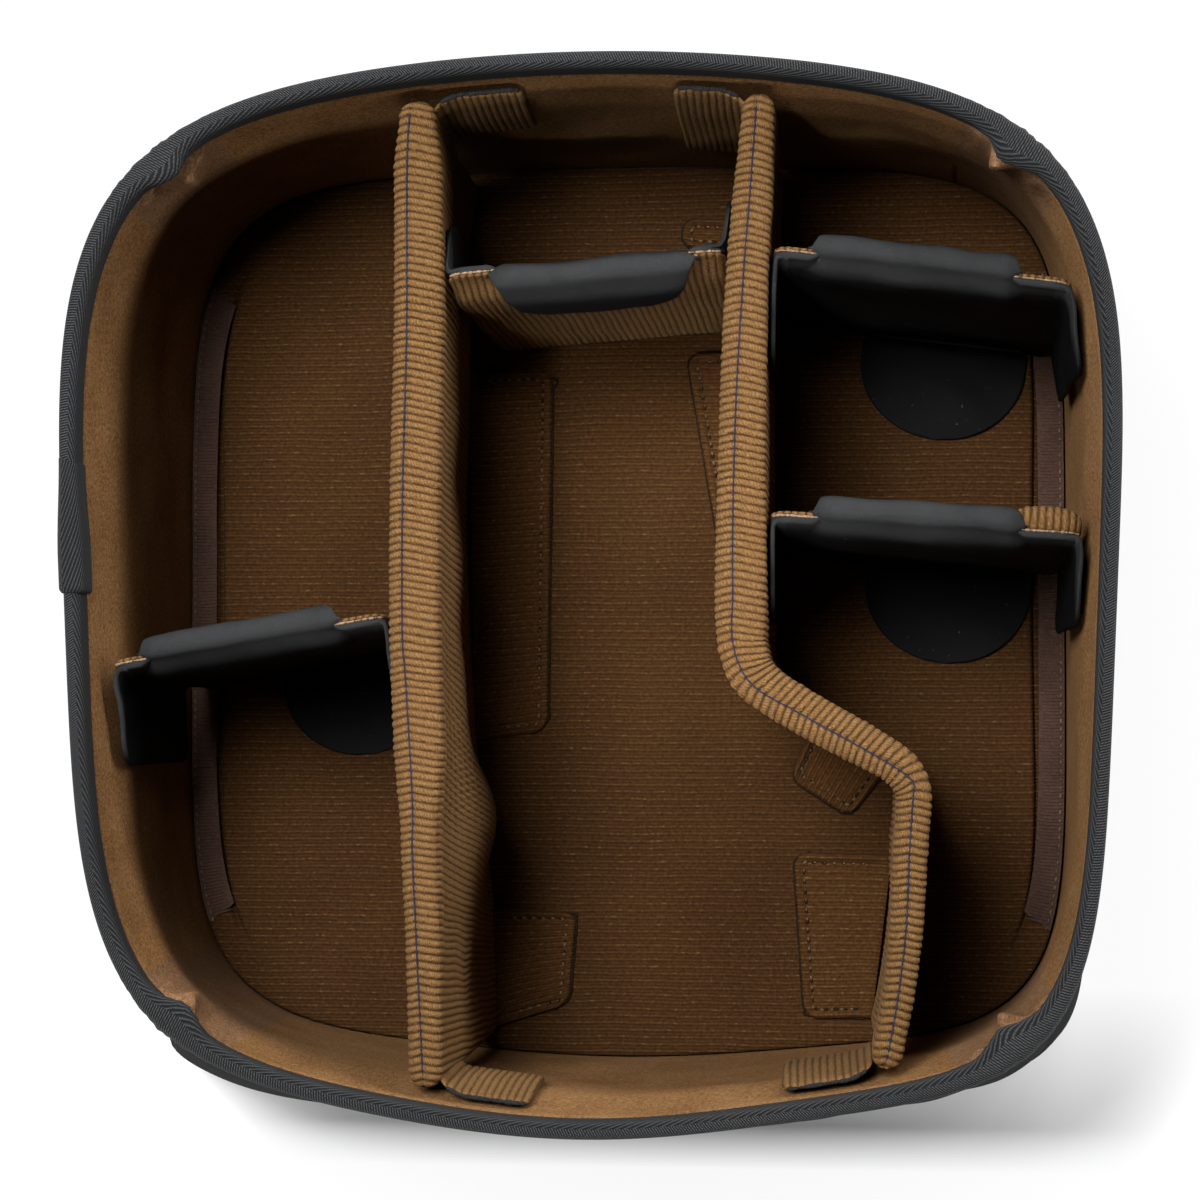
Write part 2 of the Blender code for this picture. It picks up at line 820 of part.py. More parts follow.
def make_grip(name, frame, width):
    """A coated sheet folded over the panel's top edge, with a wide lip in front and a narrow one behind."""
    back = -short_divider_thickness - fit
    front = black_face + fit
    top = panel_top + fit
    thick = grip_thickness
    front_low = panel_top - grip_front_drop
    back_low = panel_top - grip_back_drop
    profile = (
        (front, front_low, grip_front_width),
        (front, top, grip_width),
        (back, top, grip_width),
        (back, back_low, grip_back_width),
        (back - thick, back_low, grip_back_width),
        (back - thick, top + thick / 2, grip_width),
        (back, top + thick, grip_width),
        (front, top + thick, grip_width),
        (front + thick, top + thick / 2, grip_width),
        (front + thick, front_low, grip_front_width),
    )
    middle = width / 2 + grip_offset
    sections = [[Vector((middle + side * wide / 2, y, z)) for y, z, wide in profile] for side in (-1, 1)]
    swept(name, sections, "coated_sheet", parent=frame)


def make_tongue(name, frame, width):
    """A half-round sheet that folds out of the panel's foot onto the floor."""
    half = tongue_width / 2
    straight = tongue_length - half * tongue_round_share
    count = 2 * arc_steps + 2
    outline = [(-half, 0, 0), (half, 0, 0)]
    for step in range(count + 1):
        angle = 2 * quarter_turn * step / count
        outline.append((half * math.cos(angle), straight + (tongue_length - straight) * math.sin(angle), 0))
    level = divider_foot + tongue_thickness / 2
    middle = width / 2 - tongue_offset
    place = Matrix.Translation((middle, black_face + fold_clearance, level - panel_foot))
    floor_tab(name, outline, tongue_thickness, "coated_sheet", frame, place)


def make_flange(name, frame, root, tip):
    """A sheet that folds out of the panel's end and lies along what the panel stops at."""
    inner = frame.matrix_world.inverted()
    width = (tip - root).length
    level = panel_top - flange_drop - flange_height
    place = inner @ placed(Vector((root.x, root.y, level)), turned(tip - root))
    corners = (
        (0, 0, 0),
        (width, 0, flange_corner_radius),
        (width, flange_height, flange_corner_radius),
        (0, flange_height, 0),
    )
    upright_tab(name, corners, flange_thickness, "coated_sheet", frame, place)


def make_short_divider(name, left_edge, right_edge, facing, tongued):
    """A panel between two neighbours, each given as a function from y to the x of its face."""
    left_y, right_y = (share * run_half[1] for share in short_divider_shares[name])
    left = Vector((left_edge(left_y) + end_clearance, left_y))
    right = Vector((right_edge(right_y) - end_clearance, right_y))
    start, end = (left, right) if facing > 0 else (right, left)
    width = (end - start).length
    frame = empty_at(name + "_lift", placed(Vector((start.x, start.y, panel_foot)), turned(end - start)))
    edges = ((left_edge, left_y, 1), (right_edge, right_y, -1))
    slab(name + "_panel", -short_divider_thickness, 0, edges, facing, "ribbed_cover", frame)
    slab(name + "_facing", fit, black_face, edges, facing, "coated_sheet", frame)
    make_grip(name + "_grip", ground_under(frame), width)
    if tongued:
        make_tongue(name + "_tongue", frame, width)
    away = facing * (black_face + fold_clearance)
    inset = seat_clearance + flange_thickness / 2
    for part, (edge, y, side), share in zip(("left", "right"), edges, flange_width_shares[name]):
        root_y = y + away
        tip_y = root_y + facing * flange_width * share
        root = Vector((edge(root_y) + side * inset, root_y))
        tip = Vector((edge(tip_y) + side * inset, tip_y))
        make_flange(name + "_flange_" + part, frame, root, tip)


def ground_under(frame):
    """A frame at the foot of the shell under a divider's frame, for pieces given in true heights."""
    lower = bpy.data.objects.new(frame.name + "_ground", None)
    bpy.context.collection.objects.link(lower)
    lower.parent = frame
    lower.location = (0, 0, -panel_foot)
    bpy.context.view_layer.update()
    return lower


def make_dividers():
    left_path = run_between_walls(left_path_shares)
    right_path = run_between_walls(right_path_shares)
    left = make_long_divider("left_divider", left_path, left_girth_shares, 1)
    right = make_long_divider("right_divider", right_path, right_girth_shares, 0)
    left_run = (left, left_path, left_girth_shares)
    right_run = (right, right_path, right_girth_shares)

    end_tab("left_divider_tab_back", *left_run, 1, 1, end_tab_width, end_tab_height)
    end_tab("left_divider_tab_front", *left_run, -1, 1, end_tab_width, end_tab_height)
    end_tab("right_divider_tab_back", *right_run, 1, -1, tall_tab_width, tall_tab_height)
    end_tab("right_divider_tab_front", *right_run, -1, -1, end_tab_width, end_tab_height)
    for part, row in left_floor_tab_shares.items():
        foot_tab("left_divider_floor_tab_" + part, *left_run, 1, *row)
    for part, row in right_floor_tab_shares.items():
        foot_tab("right_divider_floor_tab_" + part, *right_run, -1, *row)

    def face_of(path, girths, side):
        line = offset_line(path, girths, 0, side)
        return lambda y: crossing(line, y)

    left_divider_left_face = face_of(left_path, left_girth_shares, -1)
    left_divider_right_face = face_of(left_path, left_girth_shares, 1)
    right_divider_left_face = face_of(right_path, right_girth_shares, -1)
    right_divider_right_face = face_of(right_path, right_girth_shares, 1)

    def left_wall(y):
        return wall_x(y, -1)

    def right_wall(y):
        return wall_x(y, 1)

    make_short_divider("centre_divider", left_divider_right_face, right_divider_left_face, 1, False)
    make_short_divider("left_bay_divider", left_wall, left_divider_left_face, -1, True)
    make_short_divider("back_bay_divider", right_divider_right_face, right_wall, -1, True)
    make_short_divider("middle_bay_divider", right_divider_right_face, right_wall, -1, True)


clear_scene()
make_base()
make_walls()
make_binding()
make_seam_tapes()
make_dividers()
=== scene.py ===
# %% [markdown]
# # A padded camera bag insert, dressed
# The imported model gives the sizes, the bodies and the joints. This file gives each piece the cloth,
# the seams and the light that a photograph would show.
# It is written in cells. Each step first says what the real thing is, and then how it is made here.

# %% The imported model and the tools
import math

import bmesh
import bpy
import numpy as np
from mathutils import Matrix, Vector


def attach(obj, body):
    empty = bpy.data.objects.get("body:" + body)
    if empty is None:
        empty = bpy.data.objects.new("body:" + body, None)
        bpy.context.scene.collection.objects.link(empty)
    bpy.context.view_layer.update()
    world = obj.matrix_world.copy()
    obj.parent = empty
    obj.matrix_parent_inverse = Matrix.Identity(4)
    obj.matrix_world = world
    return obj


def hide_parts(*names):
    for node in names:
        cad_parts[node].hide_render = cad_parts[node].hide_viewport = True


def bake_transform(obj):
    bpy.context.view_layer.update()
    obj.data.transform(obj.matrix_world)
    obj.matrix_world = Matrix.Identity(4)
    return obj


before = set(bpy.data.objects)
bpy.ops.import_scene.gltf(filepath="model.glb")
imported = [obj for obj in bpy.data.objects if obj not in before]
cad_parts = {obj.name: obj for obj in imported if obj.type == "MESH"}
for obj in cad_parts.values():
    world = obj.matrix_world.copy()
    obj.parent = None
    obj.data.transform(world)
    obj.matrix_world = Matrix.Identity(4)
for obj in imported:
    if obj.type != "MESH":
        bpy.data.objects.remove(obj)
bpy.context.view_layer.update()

# %% [markdown]
# ## Camera and light
# The photograph looks almost straight down into the opening, a little from the right and the front.
# The camera's place was worked out from the rim, the dividers' tops and their feet.

# %% Camera
camera_place = Vector((0.07594, -0.03315, 0.877))
camera_target = Vector((0.00544, -0.00255, 0.140))
look = (camera_target - camera_place).normalized()
right = look.cross(Vector((0, 1, 0))).normalized()
camera = bpy.data.objects.new("photo_camera", bpy.data.cameras.new("photo_camera"))
camera.matrix_world = Matrix.Translation(camera_place) @ Matrix((right, right.cross(look), -look)).transposed().to_4x4()
camera.data.sensor_width = 36
camera.data.lens = 81.88
camera.data.clip_start = 0.01
bpy.context.scene.collection.objects.link(camera)
bpy.context.scene.camera = camera
bpy.context.scene.view_settings.view_transform = "Standard"
print("camera to rim:", round((camera_place - camera_target).length * 1000), "mm")

# %% [markdown]
# A studio softbox is a large, even lamp. The key hangs above the back-left of the box, so each wall
# and divider throws its shadow to the right and to the front. Three low lamps graze the rim: they
# light the top of each wall and leave its foot dark. A narrow lamp reaches into the middle.

# %% Lamps


def softbox(name, place, aim, size, power, spread=180):
    lamp = bpy.data.objects.new(name, bpy.data.lights.new(name, "AREA"))
    lamp.data.shape = "RECTANGLE"
    lamp.data.size, lamp.data.size_y = size
    lamp.data.energy = power
    lamp.data.spread = math.radians(spread)
    lamp.location = place
    lamp.rotation_mode = "QUATERNION"
    lamp.rotation_quaternion = (Vector(aim) - Vector(place)).to_track_quat("-Z", "Y")
    bpy.context.scene.collection.objects.link(lamp)


softbox("key_lamp", (-0.19, 0.23, 1.02), (0, 0, 0.10), (0.36, 0.34), 20.5)
softbox("right_lamp", (1.16, 0.62, 0.54), (0, 0, 0.12), (0.80, 0.22), 13.0)
softbox("back_lamp", (0.60, 1.28, 0.50), (0, 0, 0.12), (0.80, 0.16), 13.0)
softbox("middle_lamp", (-0.16, -0.50, 0.88), (0.03, 0.02, 0.09), (0.08, 0.08), 0.05, 14)
softbox("front_lamp", (0.10, -1.40, 0.36), (0, 0, 0.12), (0.80, 0.12), 8.0)
print("lamps:", len(bpy.data.lights))

# %% [markdown]
# ## Shader sums
# A material is a graph of nodes. Writing the graph's sums as Python expressions keeps them short:
# this class wraps one output of a node, and each operator adds the Math node that it stands for.

# %% A wrapped socket


def plug(tree, value, socket):
    """Links a wrapped output to a socket, or sets the socket's own value."""
    if isinstance(value, Wire):
        tree.links.new(value.socket, socket)
    else:
        socket.default_value = value


def maths(operation, swapped=False):
    """A method that adds one Math node. Swapped is for a plain number on the operator's left."""

    def method(self, other=0.0):
        return self.math(operation, other, self) if swapped else self.math(operation, self, other)

    return method


class Wire:
    def __init__(self, tree, socket):
        self.tree = tree
        self.socket = socket

    def math(self, operation, first, second=0.0, clamp=False):
        node = self.tree.nodes.new("ShaderNodeMath")
        node.operation = operation
        node.use_clamp = clamp
        plug(self.tree, first, node.inputs[0])
        plug(self.tree, second, node.inputs[1])
        return Wire(self.tree, node.outputs[0])

    __add__ = __radd__ = maths("ADD")
    __mul__ = __rmul__ = maths("MULTIPLY")
    __sub__, __rsub__ = maths("SUBTRACT"), maths("SUBTRACT", True)
    __truediv__, __pow__, __abs__ = maths("DIVIDE"), maths("POWER"), maths("ABSOLUTE")
    # Part is what is left over a whole number, a saw tooth
    part, wave = maths("FRACT"), maths("SINE")

    def clamped(self):
        return self.math("ADD", self, clamp=True)


# %% [markdown]
# A finish is one material. Its `node` method makes any node from its type, its settings and the
# values or links of its sockets. Numbers that are the same all over sit on the shader's own sockets.

# %% A finish


class Finish:
    def __init__(self, name, slot, **constants):
        self.material = bpy.data.materials.new(name)
        self.material.use_nodes = True
        self.slot = slot
        self.tree = self.material.node_tree
        self.shader = self.tree.nodes["Principled BSDF"]
        for socket, value in constants.items():
            self.shader.inputs[socket.replace("_", " ")].default_value = value

    def node(self, kind, settings=(), values=(), output=0):
        node = self.tree.nodes.new(kind)
        settings = dict(settings)
        for (place, colour), n in zip(settings.pop("stops", ()), range(9)):
            stop = node.color_ramp.elements[n] if n < 2 else node.color_ramp.elements.new(place)
            stop.position = place
            stop.color = (*colour, 1)
        for setting, value in settings.items():
            setattr(node, setting, value)
        for socket, value in dict(values).items():
            plug(self.tree, value, node.inputs[socket])
        return Wire(self.tree, node.outputs[output])

    def place(self):
        """Where a point lies on the piece's own cloth, in metres along and across."""
        return self.axes(self.node("ShaderNodeUVMap", {"uv_map": "cloth"}))[:2]

    def space(self):
        """Where a point lies in the part's frame, in metres."""
        return self.node("ShaderNodeTexCoord", output=3)

    def axes(self, vector):
        node = self.tree.nodes.new("ShaderNodeSeparateXYZ")
        plug(self.tree, vector, node.inputs[0])
        return [Wire(self.tree, output) for output in node.outputs]

    def vector(self, x, y, z=0.0):
        return self.node("ShaderNodeCombineXYZ", values={0: x, 1: y, 2: z})

    def noise(self, vector, scale, detail=2.0, roughness=0.5):
        values = {"Vector": vector, "Scale": scale, "Detail": detail, "Roughness": roughness}
        return self.node("ShaderNodeTexNoise", values=values)

    def ramp(self, value, *stops):
        return self.node("ShaderNodeValToRGB", {"stops": stops}, {0: value})

    def mix(self, share, first, second):
        first, second = (c if isinstance(c, Wire) else (*c, 1) for c in (first, second))
        return self.node("ShaderNodeMix", {"data_type": "RGBA"}, {0: share, 6: first, 7: second}, 2)

    def set(self, colour, height=None, depth=0.0002, strength=1.0, roughness=None):
        plug(self.tree, colour, self.shader.inputs["Base Color"])
        if roughness is not None:
            plug(self.tree, roughness, self.shader.inputs["Roughness"])
        if height is not None:
            values = {"Height": height, "Distance": depth, "Strength": strength}
            plug(self.tree, self.node("ShaderNodeBump", values=values), self.shader.inputs["Normal"])
        return self


# %% [markdown]
# ## The cloths
# The ribbed cover is a heavy woven cloth with round cords about 2 mm apart, brushed until it is fuzzy.
# The cords are real geometry. The material adds the slanted yarn, lighter and darker yarn, faded patches and painted
# shade in the gaps between the cords.

# %% Ribbed cloth
rib_pitch = 0.00211


def toned(tone, *colours):
    """The colours, all made lighter or darker."""
    return [tuple(part * tone for part in colour) for colour in colours]


def ribbed_cloth(name, tone=1.0):
    sheen = {"Sheen_Weight": 0.06, "Sheen_Tint": (0.80, 0.50, 0.25, 1)}
    cloth = Finish(name, "ribbed_cover", Roughness=0.92, Specular_IOR_Level=0.08, **sheen)
    low, face, top = toned(tone, (0.0665, 0.0311, 0.0095), (0.1491, 0.0765, 0.0254), (0.2386, 0.1379, 0.0550))
    # The first colour is painted shade for the gaps between the cords
    painted_gap_shade, faded = toned(tone, (0.0275, 0.0124, 0.0041), (0.1193, 0.0619, 0.0261))
    along, across = cloth.place()
    spot = cloth.space()
    fuzz = cloth.noise(spot, 2000.0, 3.0, 0.75)
    clump = cloth.noise(cloth.vector(along * 700, across * 420, 1.0), 1.0, 2.0, 0.6)
    patch = cloth.noise(spot, 28.0, 3.0, 0.6)
    slant = (across + along * 0.5) / 0.00100 + clump * 2.6
    yarn = abs(slant.part() * 2 - 1)
    # Painted shade: the gaps between the cords are darkened, in broken patches
    gap = abs((along / rib_pitch + clump * 0.44 - 0.22).part() * 2 - 1) ** 3
    gap = (gap * (clump * 3.2 + fuzz * 1.6 - 1.10)).clamped()
    colour = cloth.ramp(yarn * 0.20 + fuzz * 0.66 + clump * 0.36 - 0.13, (0.26, low), (0.48, face), (0.72, top))
    colour = cloth.mix(gap * 0.95, colour, painted_gap_shade)
    colour = cloth.mix((patch * 0.5 - 0.1).clamped(), colour, faded)
    height = yarn * 0.35 + fuzz * 0.7 + clump * 0.7 - gap * 0.6
    return cloth.set(colour, height, 0.00045, 0.9)


ribbed = ribbed_cloth("ribbed_cover_cloth")
# A darker copy of the cover cloth for the end tabs: painted shade
shaded_tab_ribbed = ribbed_cloth("shaded_ribbed_tab_cloth", 0.92)

# %% [markdown]
# Velour is a knit whose pile is brushed up. It has no weave to see, only a soft grain, lighter where
# the pile leans to the light, so three sizes of noise do it, with sheen at the edges.

# %% Velour


def velour_cloth(name, dark, middle, light):
    sheen = {"Sheen_Weight": 0.05, "Sheen_Tint": (0.75, 0.45, 0.22, 1)}
    cloth = Finish(name, "velour", Roughness=0.95, Specular_IOR_Level=0.05, **sheen)
    spot = cloth.space()
    grain = cloth.noise(spot, 1900.0, 3.0, 0.75)
    tuft = cloth.noise(spot, 900.0, 2.0, 0.7)
    lean = cloth.noise(spot, 45.0, 2.0, 0.5)
    colour = cloth.ramp(grain * 0.5 + tuft * 0.45 + lean * 0.2 - 0.07, (0.38, dark), (0.50, middle), (0.63, light))
    return cloth.set(colour, grain * 0.7 + tuft * 0.8, 0.0006, 0.8)


velour = velour_cloth("velour_lining", (0.0826, 0.0367, 0.0119), (0.1468, 0.0716, 0.0257), (0.2202, 0.1216, 0.0528))
tuck_cloth = velour_cloth("tucked_lining", (0.078, 0.0367, 0.0165), (0.1331, 0.0688, 0.033), (0.2019, 0.1147, 0.0642))

# %% [markdown]
# The floor is a loop cloth that hook tape grips. Its loops lie in fine rows along X, and some loops
# stand out bright.

# %% Loop cloth
row_pitch = 0.00111


def loop_cloth(name, slot, follows_piece, tone=1.0):
    cloth = Finish(name, slot, Roughness=0.9, Specular_IOR_Level=0.12)
    low, face, top = toned(tone, (0.0098, 0.0036, 0.0007), (0.0345, 0.0137, 0.0030), (0.0770, 0.0345, 0.0090))
    tips = tuple(part * tone for part in (0.150, 0.092, 0.038))
    spot = cloth.space()
    if follows_piece:
        row_place, run = cloth.place()
    else:
        run, row_place = cloth.axes(spot)[:2]
    rows = row_place / row_pitch + cloth.noise(spot, 45.0, 2.0, 0.5) * 1.3
    row = (rows * math.tau).wave() * 0.5 + 0.5
    every_other = (rows * math.pi).wave() * 0.5 + 0.5
    loop = cloth.noise(cloth.vector(run * 900, rows * 0.9, 1.0), 1.0, 3.0, 0.7)
    dash = cloth.noise(cloth.vector(run * 480, rows * 0.75, 4.0), 1.0, 2.0, 0.6)
    lightening = cloth.noise(spot, 18.0, 3.0, 0.6)
    level = row * 0.13 + loop * 0.68 + every_other * 0.08 + lightening * 0.24 - 0.07
    colour = cloth.ramp(level, (0.22, low), (0.50, face), (0.80, top))
    bright = (((dash - 0.53) * 8).clamped() * every_other ** 3 * ((loop - 0.35) * 3).clamped() * row).clamped()
    colour = cloth.mix(bright * 0.9, colour, tips)
    return cloth.set(colour, row * 0.35 + loop * 0.7 + bright * 0.3, 0.0004, 0.9)


loops = loop_cloth("loop_floor_cloth", "loop_fabric", False)
# A lighter copy of the floor cloth for the floor tabs: painted light that lifts them in the dividers' shade
lit_tab_loops = loop_cloth("lit_loop_tab_cloth", "ribbed_cover", True, 1.25)

# %% [markdown]
# Herringbone tape is a twill that turns back on itself: fine slanted lines meet at a spine. Outside
# the spine the lines are steep and finely knotted, and inside it they are flat.

# %% Herringbone tape
tape_spine = 0.0116
twill = Finish("herringbone_binding", "twill_binding", Roughness=0.75, Sheen_Weight=0.03, Specular_IOR_Level=0.14)
along, across = twill.place()
from_spine = across - tape_spine
inner_side = across.math("GREATER_THAN", from_spine, 0.0)
steep = ((along * 0.88 + from_spine * 0.47) / 0.00066 * math.tau).wave()
flat = ((along * 0.36 - from_spine * 0.93) / 0.00092 * math.tau).wave()
ridge = (steep * (1 - inner_side) + flat * inner_side) * 0.5 + 0.5
knot = ((across / 0.00074 + along * 0.35 / 0.00074) * math.tau).wave() * 0.5 + 0.5
hair = twill.noise(twill.space(), 1800.0, 2.0, 0.6)
shade = twill.noise(twill.space(), 30.0, 2.0, 0.5)
weave = (ridge * 0.62 + ridge * knot * 0.38 * (1 - inner_side) + hair * 0.36 + shade * 0.16 - 0.22).clamped()
stops = ((0.10, (0.0030, 0.0032, 0.0036)), (0.45, (0.0125, 0.0132, 0.0142)), (0.92, (0.0560, 0.0580, 0.0600)))
colour = twill.ramp(weave, *stops)
twill.set(colour, ridge * 0.8 + knot * ridge * 0.4 + hair * 0.3, 0.0004, 0.9)

# %% [markdown]
# The outside and the short dividers' flaps are cloth with a smooth black coating. A fine pebble grain,
# faint scuffs and a changing gloss keep it from looking like plastic sheet. Along the upper edges of
# the short dividers the coating turns a lighter grey: painted light where the tops catch the lamp.

# %% Coated cloth


def coated_cloth(name, slot, colour, light, gloss, grain_size, shine, lit_top_greys=None):
    """The last argument is a pair of lighter greys that the cloth passes to along the short dividers' tops: painted
    light.
    """
    cloth = Finish(name, slot, Specular_IOR_Level=shine)
    spot = cloth.space()
    grain = cloth.node("ShaderNodeTexVoronoi", values={"Vector": spot, "Scale": grain_size})
    fine = cloth.noise(spot, 2600.0, 3.0, 0.6)
    scuff = cloth.noise(spot, 90.0, 4.0, 0.7)
    cloud = cloth.noise(spot, 14.0, 2.0, 0.5)
    shown = cloth.ramp(scuff * 0.5 + fine * 0.3 + cloud * 0.3, (0.40, colour), (0.78, light))
    dust = ((cloth.noise(spot, 700.0, 1.0, 0.5) - 0.74) * 12).clamped()
    shown = cloth.mix(dust * 0.5, shown, (0.0734, 0.0734, 0.0688))
    if lit_top_greys:
        # Painted light: above this height the sheet passes to lighter greys, where the short dividers' tops catch the
        # lamp
        lightening = ((cloth.axes(spot)[2] - 0.1150) / 0.0045).clamped() * (scuff * 0.7 + 0.65)
        grey = cloth.ramp(fine * 0.6 + scuff * 0.4, (0.3, lit_top_greys[0]), (0.7, lit_top_greys[1]))
        shown = cloth.mix(lightening.clamped(), shown, grey)
    return cloth.set(shown, grain * 0.6 + fine * 0.5, 0.00012, 0.6, scuff * 0.25 + (gloss - 0.12))


dark, light = (0.0037, 0.0037, 0.0041), (0.0089, 0.0089, 0.0096)
skin = coated_cloth("coated_outer_cloth", "coated_skin", dark, light, 0.72, 1500.0, 0.03)
dark, light = (0.0022, 0.0022, 0.0024), (0.0049, 0.005, 0.0052)
# Lighter greys for the short dividers' tops: painted light
greys = ((0.0150, 0.0156, 0.0161), (0.0265, 0.0271, 0.0277))
black_sheet = coated_cloth("coated_divider_sheet", "coated_sheet", dark, light, 0.66, 1900.0, 0.05, greys)

# %% [markdown]
# Grosgrain is a ribbon with cross ribs. Its threads run along it, over the ribs. The sewing threads
# are twisted, so they get slanted stripes.

# %% Ribbon, threads and raw edges


def stranded(name, slot, dark, light, size):
    cloth = Finish(name, slot, Roughness=0.8, Specular_IOR_Level=0.1)
    spot = cloth.space()
    x, y, z = cloth.axes(spot)
    strand = cloth.noise(cloth.vector((x + y) * size, (x - y) * size * 0.35, z * size), 1.0, 2.0, 0.6)
    cloud = cloth.noise(spot, 60.0, 2.0, 0.5)
    colour = cloth.ramp(strand * 0.8 + cloud * 0.25, (0.30, dark), (0.72, light))
    return cloth.set(colour, strand, 0.00015, 0.8)


grosgrain = stranded("grosgrain_ribbon", "seam_tape", (0.022, 0.0110, 0.0075), (0.062, 0.0340, 0.0245), 1600.0)
navy_thread = stranded("navy_thread", "ribbed_cover", (0.0050, 0.0055, 0.0150), (0.0260, 0.0275, 0.0560), 2600.0)
# Dark pills of painted shade: the stitch holes and the floor tabs' edges
painted_shade_pills = stranded("painted_shade_pills", "ribbed_cover", (0.0030, 0.0015, 0.0008), (0.0190, 0.0100, 0.0045), 2600.0)
tuft_thread = stranded("tuft_thread", "ribbed_cover", (0.0459, 0.0252, 0.0115), (0.1376, 0.0918, 0.0505), 2600.0)
raw_edge = stranded("raw_cloth_edge", "ribbed_cover", (0.110, 0.058, 0.030), (0.300, 0.205, 0.135), 1500.0)
edge_thread = stranded("black_edge_thread", "coated_sheet", (0.0040, 0.0040, 0.0045), (0.0200, 0.0200, 0.0210), 1800.0)

# %% [markdown]
# The stage is pale paper. To the camera it is mostly plain white, and only a strip in front of the
# box shows what the lamps make of it: there the photograph keeps the box's shadow.

# %% Stage
paper = Finish("pale_paper", None, Roughness=0.9, Base_Color=(0.86, 0.86, 0.86, 1))
rays = paper.tree.nodes.new("ShaderNodeLightPath")
seen = Wire(paper.tree, rays.outputs["Is Camera Ray"]) + Wire(paper.tree, rays.outputs["Is Glossy Ray"])
grit = paper.noise(paper.space(), 40.0, 3.0, 0.6)
paper_y = paper.axes(paper.space())[1]
in_front = ((paper_y * -1 - 0.120) * 22).clamped() * ((0.1785 + paper_y) * 71).clamped()
paper.set(paper.mix(grit * 0.1, (0.88, 0.88, 0.88), (0.80, 0.80, 0.80)))
glow = paper.node("ShaderNodeEmission", values={"Color": (1, 1, 1, 1), "Strength": 1.0})
lit = Wire(paper.tree, paper.shader.outputs[0])
both = paper.node("ShaderNodeMixShader", values={0: (seen * (0.92 - in_front * 0.90)).clamped(), 1: lit, 2: glow})
plug(paper.tree, both, paper.tree.nodes["Material Output"].inputs[0])

floor_mesh = bpy.data.meshes.new("studio_floor")
floor_mesh.from_pydata([(-4, -4, 0), (4, -4, 0), (4, 4, 0), (-4, 4, 0)], [], [(0, 1, 2, 3)])
floor_mesh.materials.append(paper.material)
studio_floor = bpy.data.objects.new("studio_floor", floor_mesh)
bpy.context.scene.collection.objects.link(studio_floor)

world = bpy.data.worlds.new("studio")
world.use_nodes = True
background = world.node_tree.nodes["Background"]
background.inputs[0].default_value = (1, 1, 1, 1)
# The world is white to the camera, and a weak light on everything else
sight = Wire(world.node_tree, world.node_tree.nodes.new("ShaderNodeLightPath").outputs["Is Camera Ray"])
plug(world.node_tree, sight * 0.96 + 0.04, background.inputs[1])
bpy.context.scene.world = world

# %% [markdown]
# ## Cloth from grids
# Every piece of cloth here is a grid of points: one way along the cloth and one way round it. The
# same grid gives each corner of each face its place on the cloth, for the weave to follow.

# %% Grid to piece


def piece_from(name, mesh, body, finish):
    mesh.materials.clear()
    mesh.materials.append(finish.material)
    piece = bpy.data.objects.new(name, mesh)
    bpy.context.scene.collection.objects.link(piece)
    if body is not None:
        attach(piece, body)
    return piece


def cloth(name, points, finish, body, along=None, across=None, rings=(False, True)):
    """A closed piece through points[along, across]. A ring joins its last line to its first."""
    count, width = points.shape[:2]
    i = np.arange(count if rings[0] else count - 1)
    j = np.arange(width if rings[1] else width - 1)
    i, j = (a.ravel() for a in np.meshgrid(i, j, indexing="ij"))
    corners = ((i, j), (i, j + 1), (i + 1, j + 1), (i + 1, j))
    faces = np.stack([(a % count) * width + b % width for a, b in corners], 1).tolist()
    quads = len(faces)
    if not rings[0]:
        faces += [list(range(width)), list(range((count - 1) * width, count * width))]
    mesh = bpy.data.meshes.new(name)
    mesh.from_pydata(points.reshape(-1, 3).tolist(), [], faces)
    if along is None:
        along = lengths_of(points[:, 0], rings[0])
    if across is None:
        across = lengths_of(points[count // 2], rings[1])
    if along.ndim == 1:
        along = np.repeat(along[:, None], len(across), 1)
    across = np.broadcast_to(across, along.shape)
    uv = np.zeros((len(mesh.loops), 2))
    placed = [np.stack([along[a, b], across[a, b]], 1) for a, b in corners]
    uv[: quads * 4] = np.stack(placed, 1).reshape(-1, 2)
    mesh.uv_layers.new(name="cloth").data.foreach_set("uv", uv.ravel())
    shape = bmesh.new()
    shape.from_mesh(mesh)
    bmesh.ops.recalc_face_normals(shape, faces=shape.faces)
    shape.to_mesh(mesh)
    shape.free()
    mesh.shade_smooth()
    mesh.set_sharp_from_angle(angle=math.radians(70))
    return piece_from(name, mesh, body, finish)


# %% [markdown]
# Soft things are never quite even. These helpers give lengths, slow ripples, smooth steps, single
# bumps and round edges, and every shape below is put together from them.

# %% Lengths, ripples and round edges


def lengths_of(line, ring=False):
    """How far along a line of points each point lies. A ring has one more place, back at its start."""
    if ring:
        line = np.concatenate([line, line[:1]])
    steps = np.linalg.norm(np.diff(line, axis=0), axis=1)
    return np.concatenate([[0.0], np.cumsum(steps)])


def ripple(x, y, size, seed):
    """A soft, uneven rise and fall between about -1 and 1, with waves about that long."""
    chance = np.random.default_rng(seed)
    total = 0.0
    for _ in range(7):
        turn, phase = chance.uniform(0, math.tau, 2)
        wave = math.tau / (size * chance.uniform(0.6, 1.6))
        total = total + np.sin((x * math.cos(turn) + y * math.sin(turn)) * wave + phase)
    return total / 3.5


def eased(value):
    value = np.clip(value, 0.0, 1.0)
    return value * value * (3 - 2 * value)


def hump(value):
    return np.exp(-value * value)


def rounded(distance, radius):
    """How full a round edge is at a distance from it: 0 at the edge, and 1 from the radius on."""
    return np.sqrt(1 - np.clip(1 - distance / radius, 0, 1) ** 2)


def corner_cut(distance, radius):
    """How much a round corner takes away at a distance from the corner's side."""
    return radius * (1 - rounded(distance, radius))


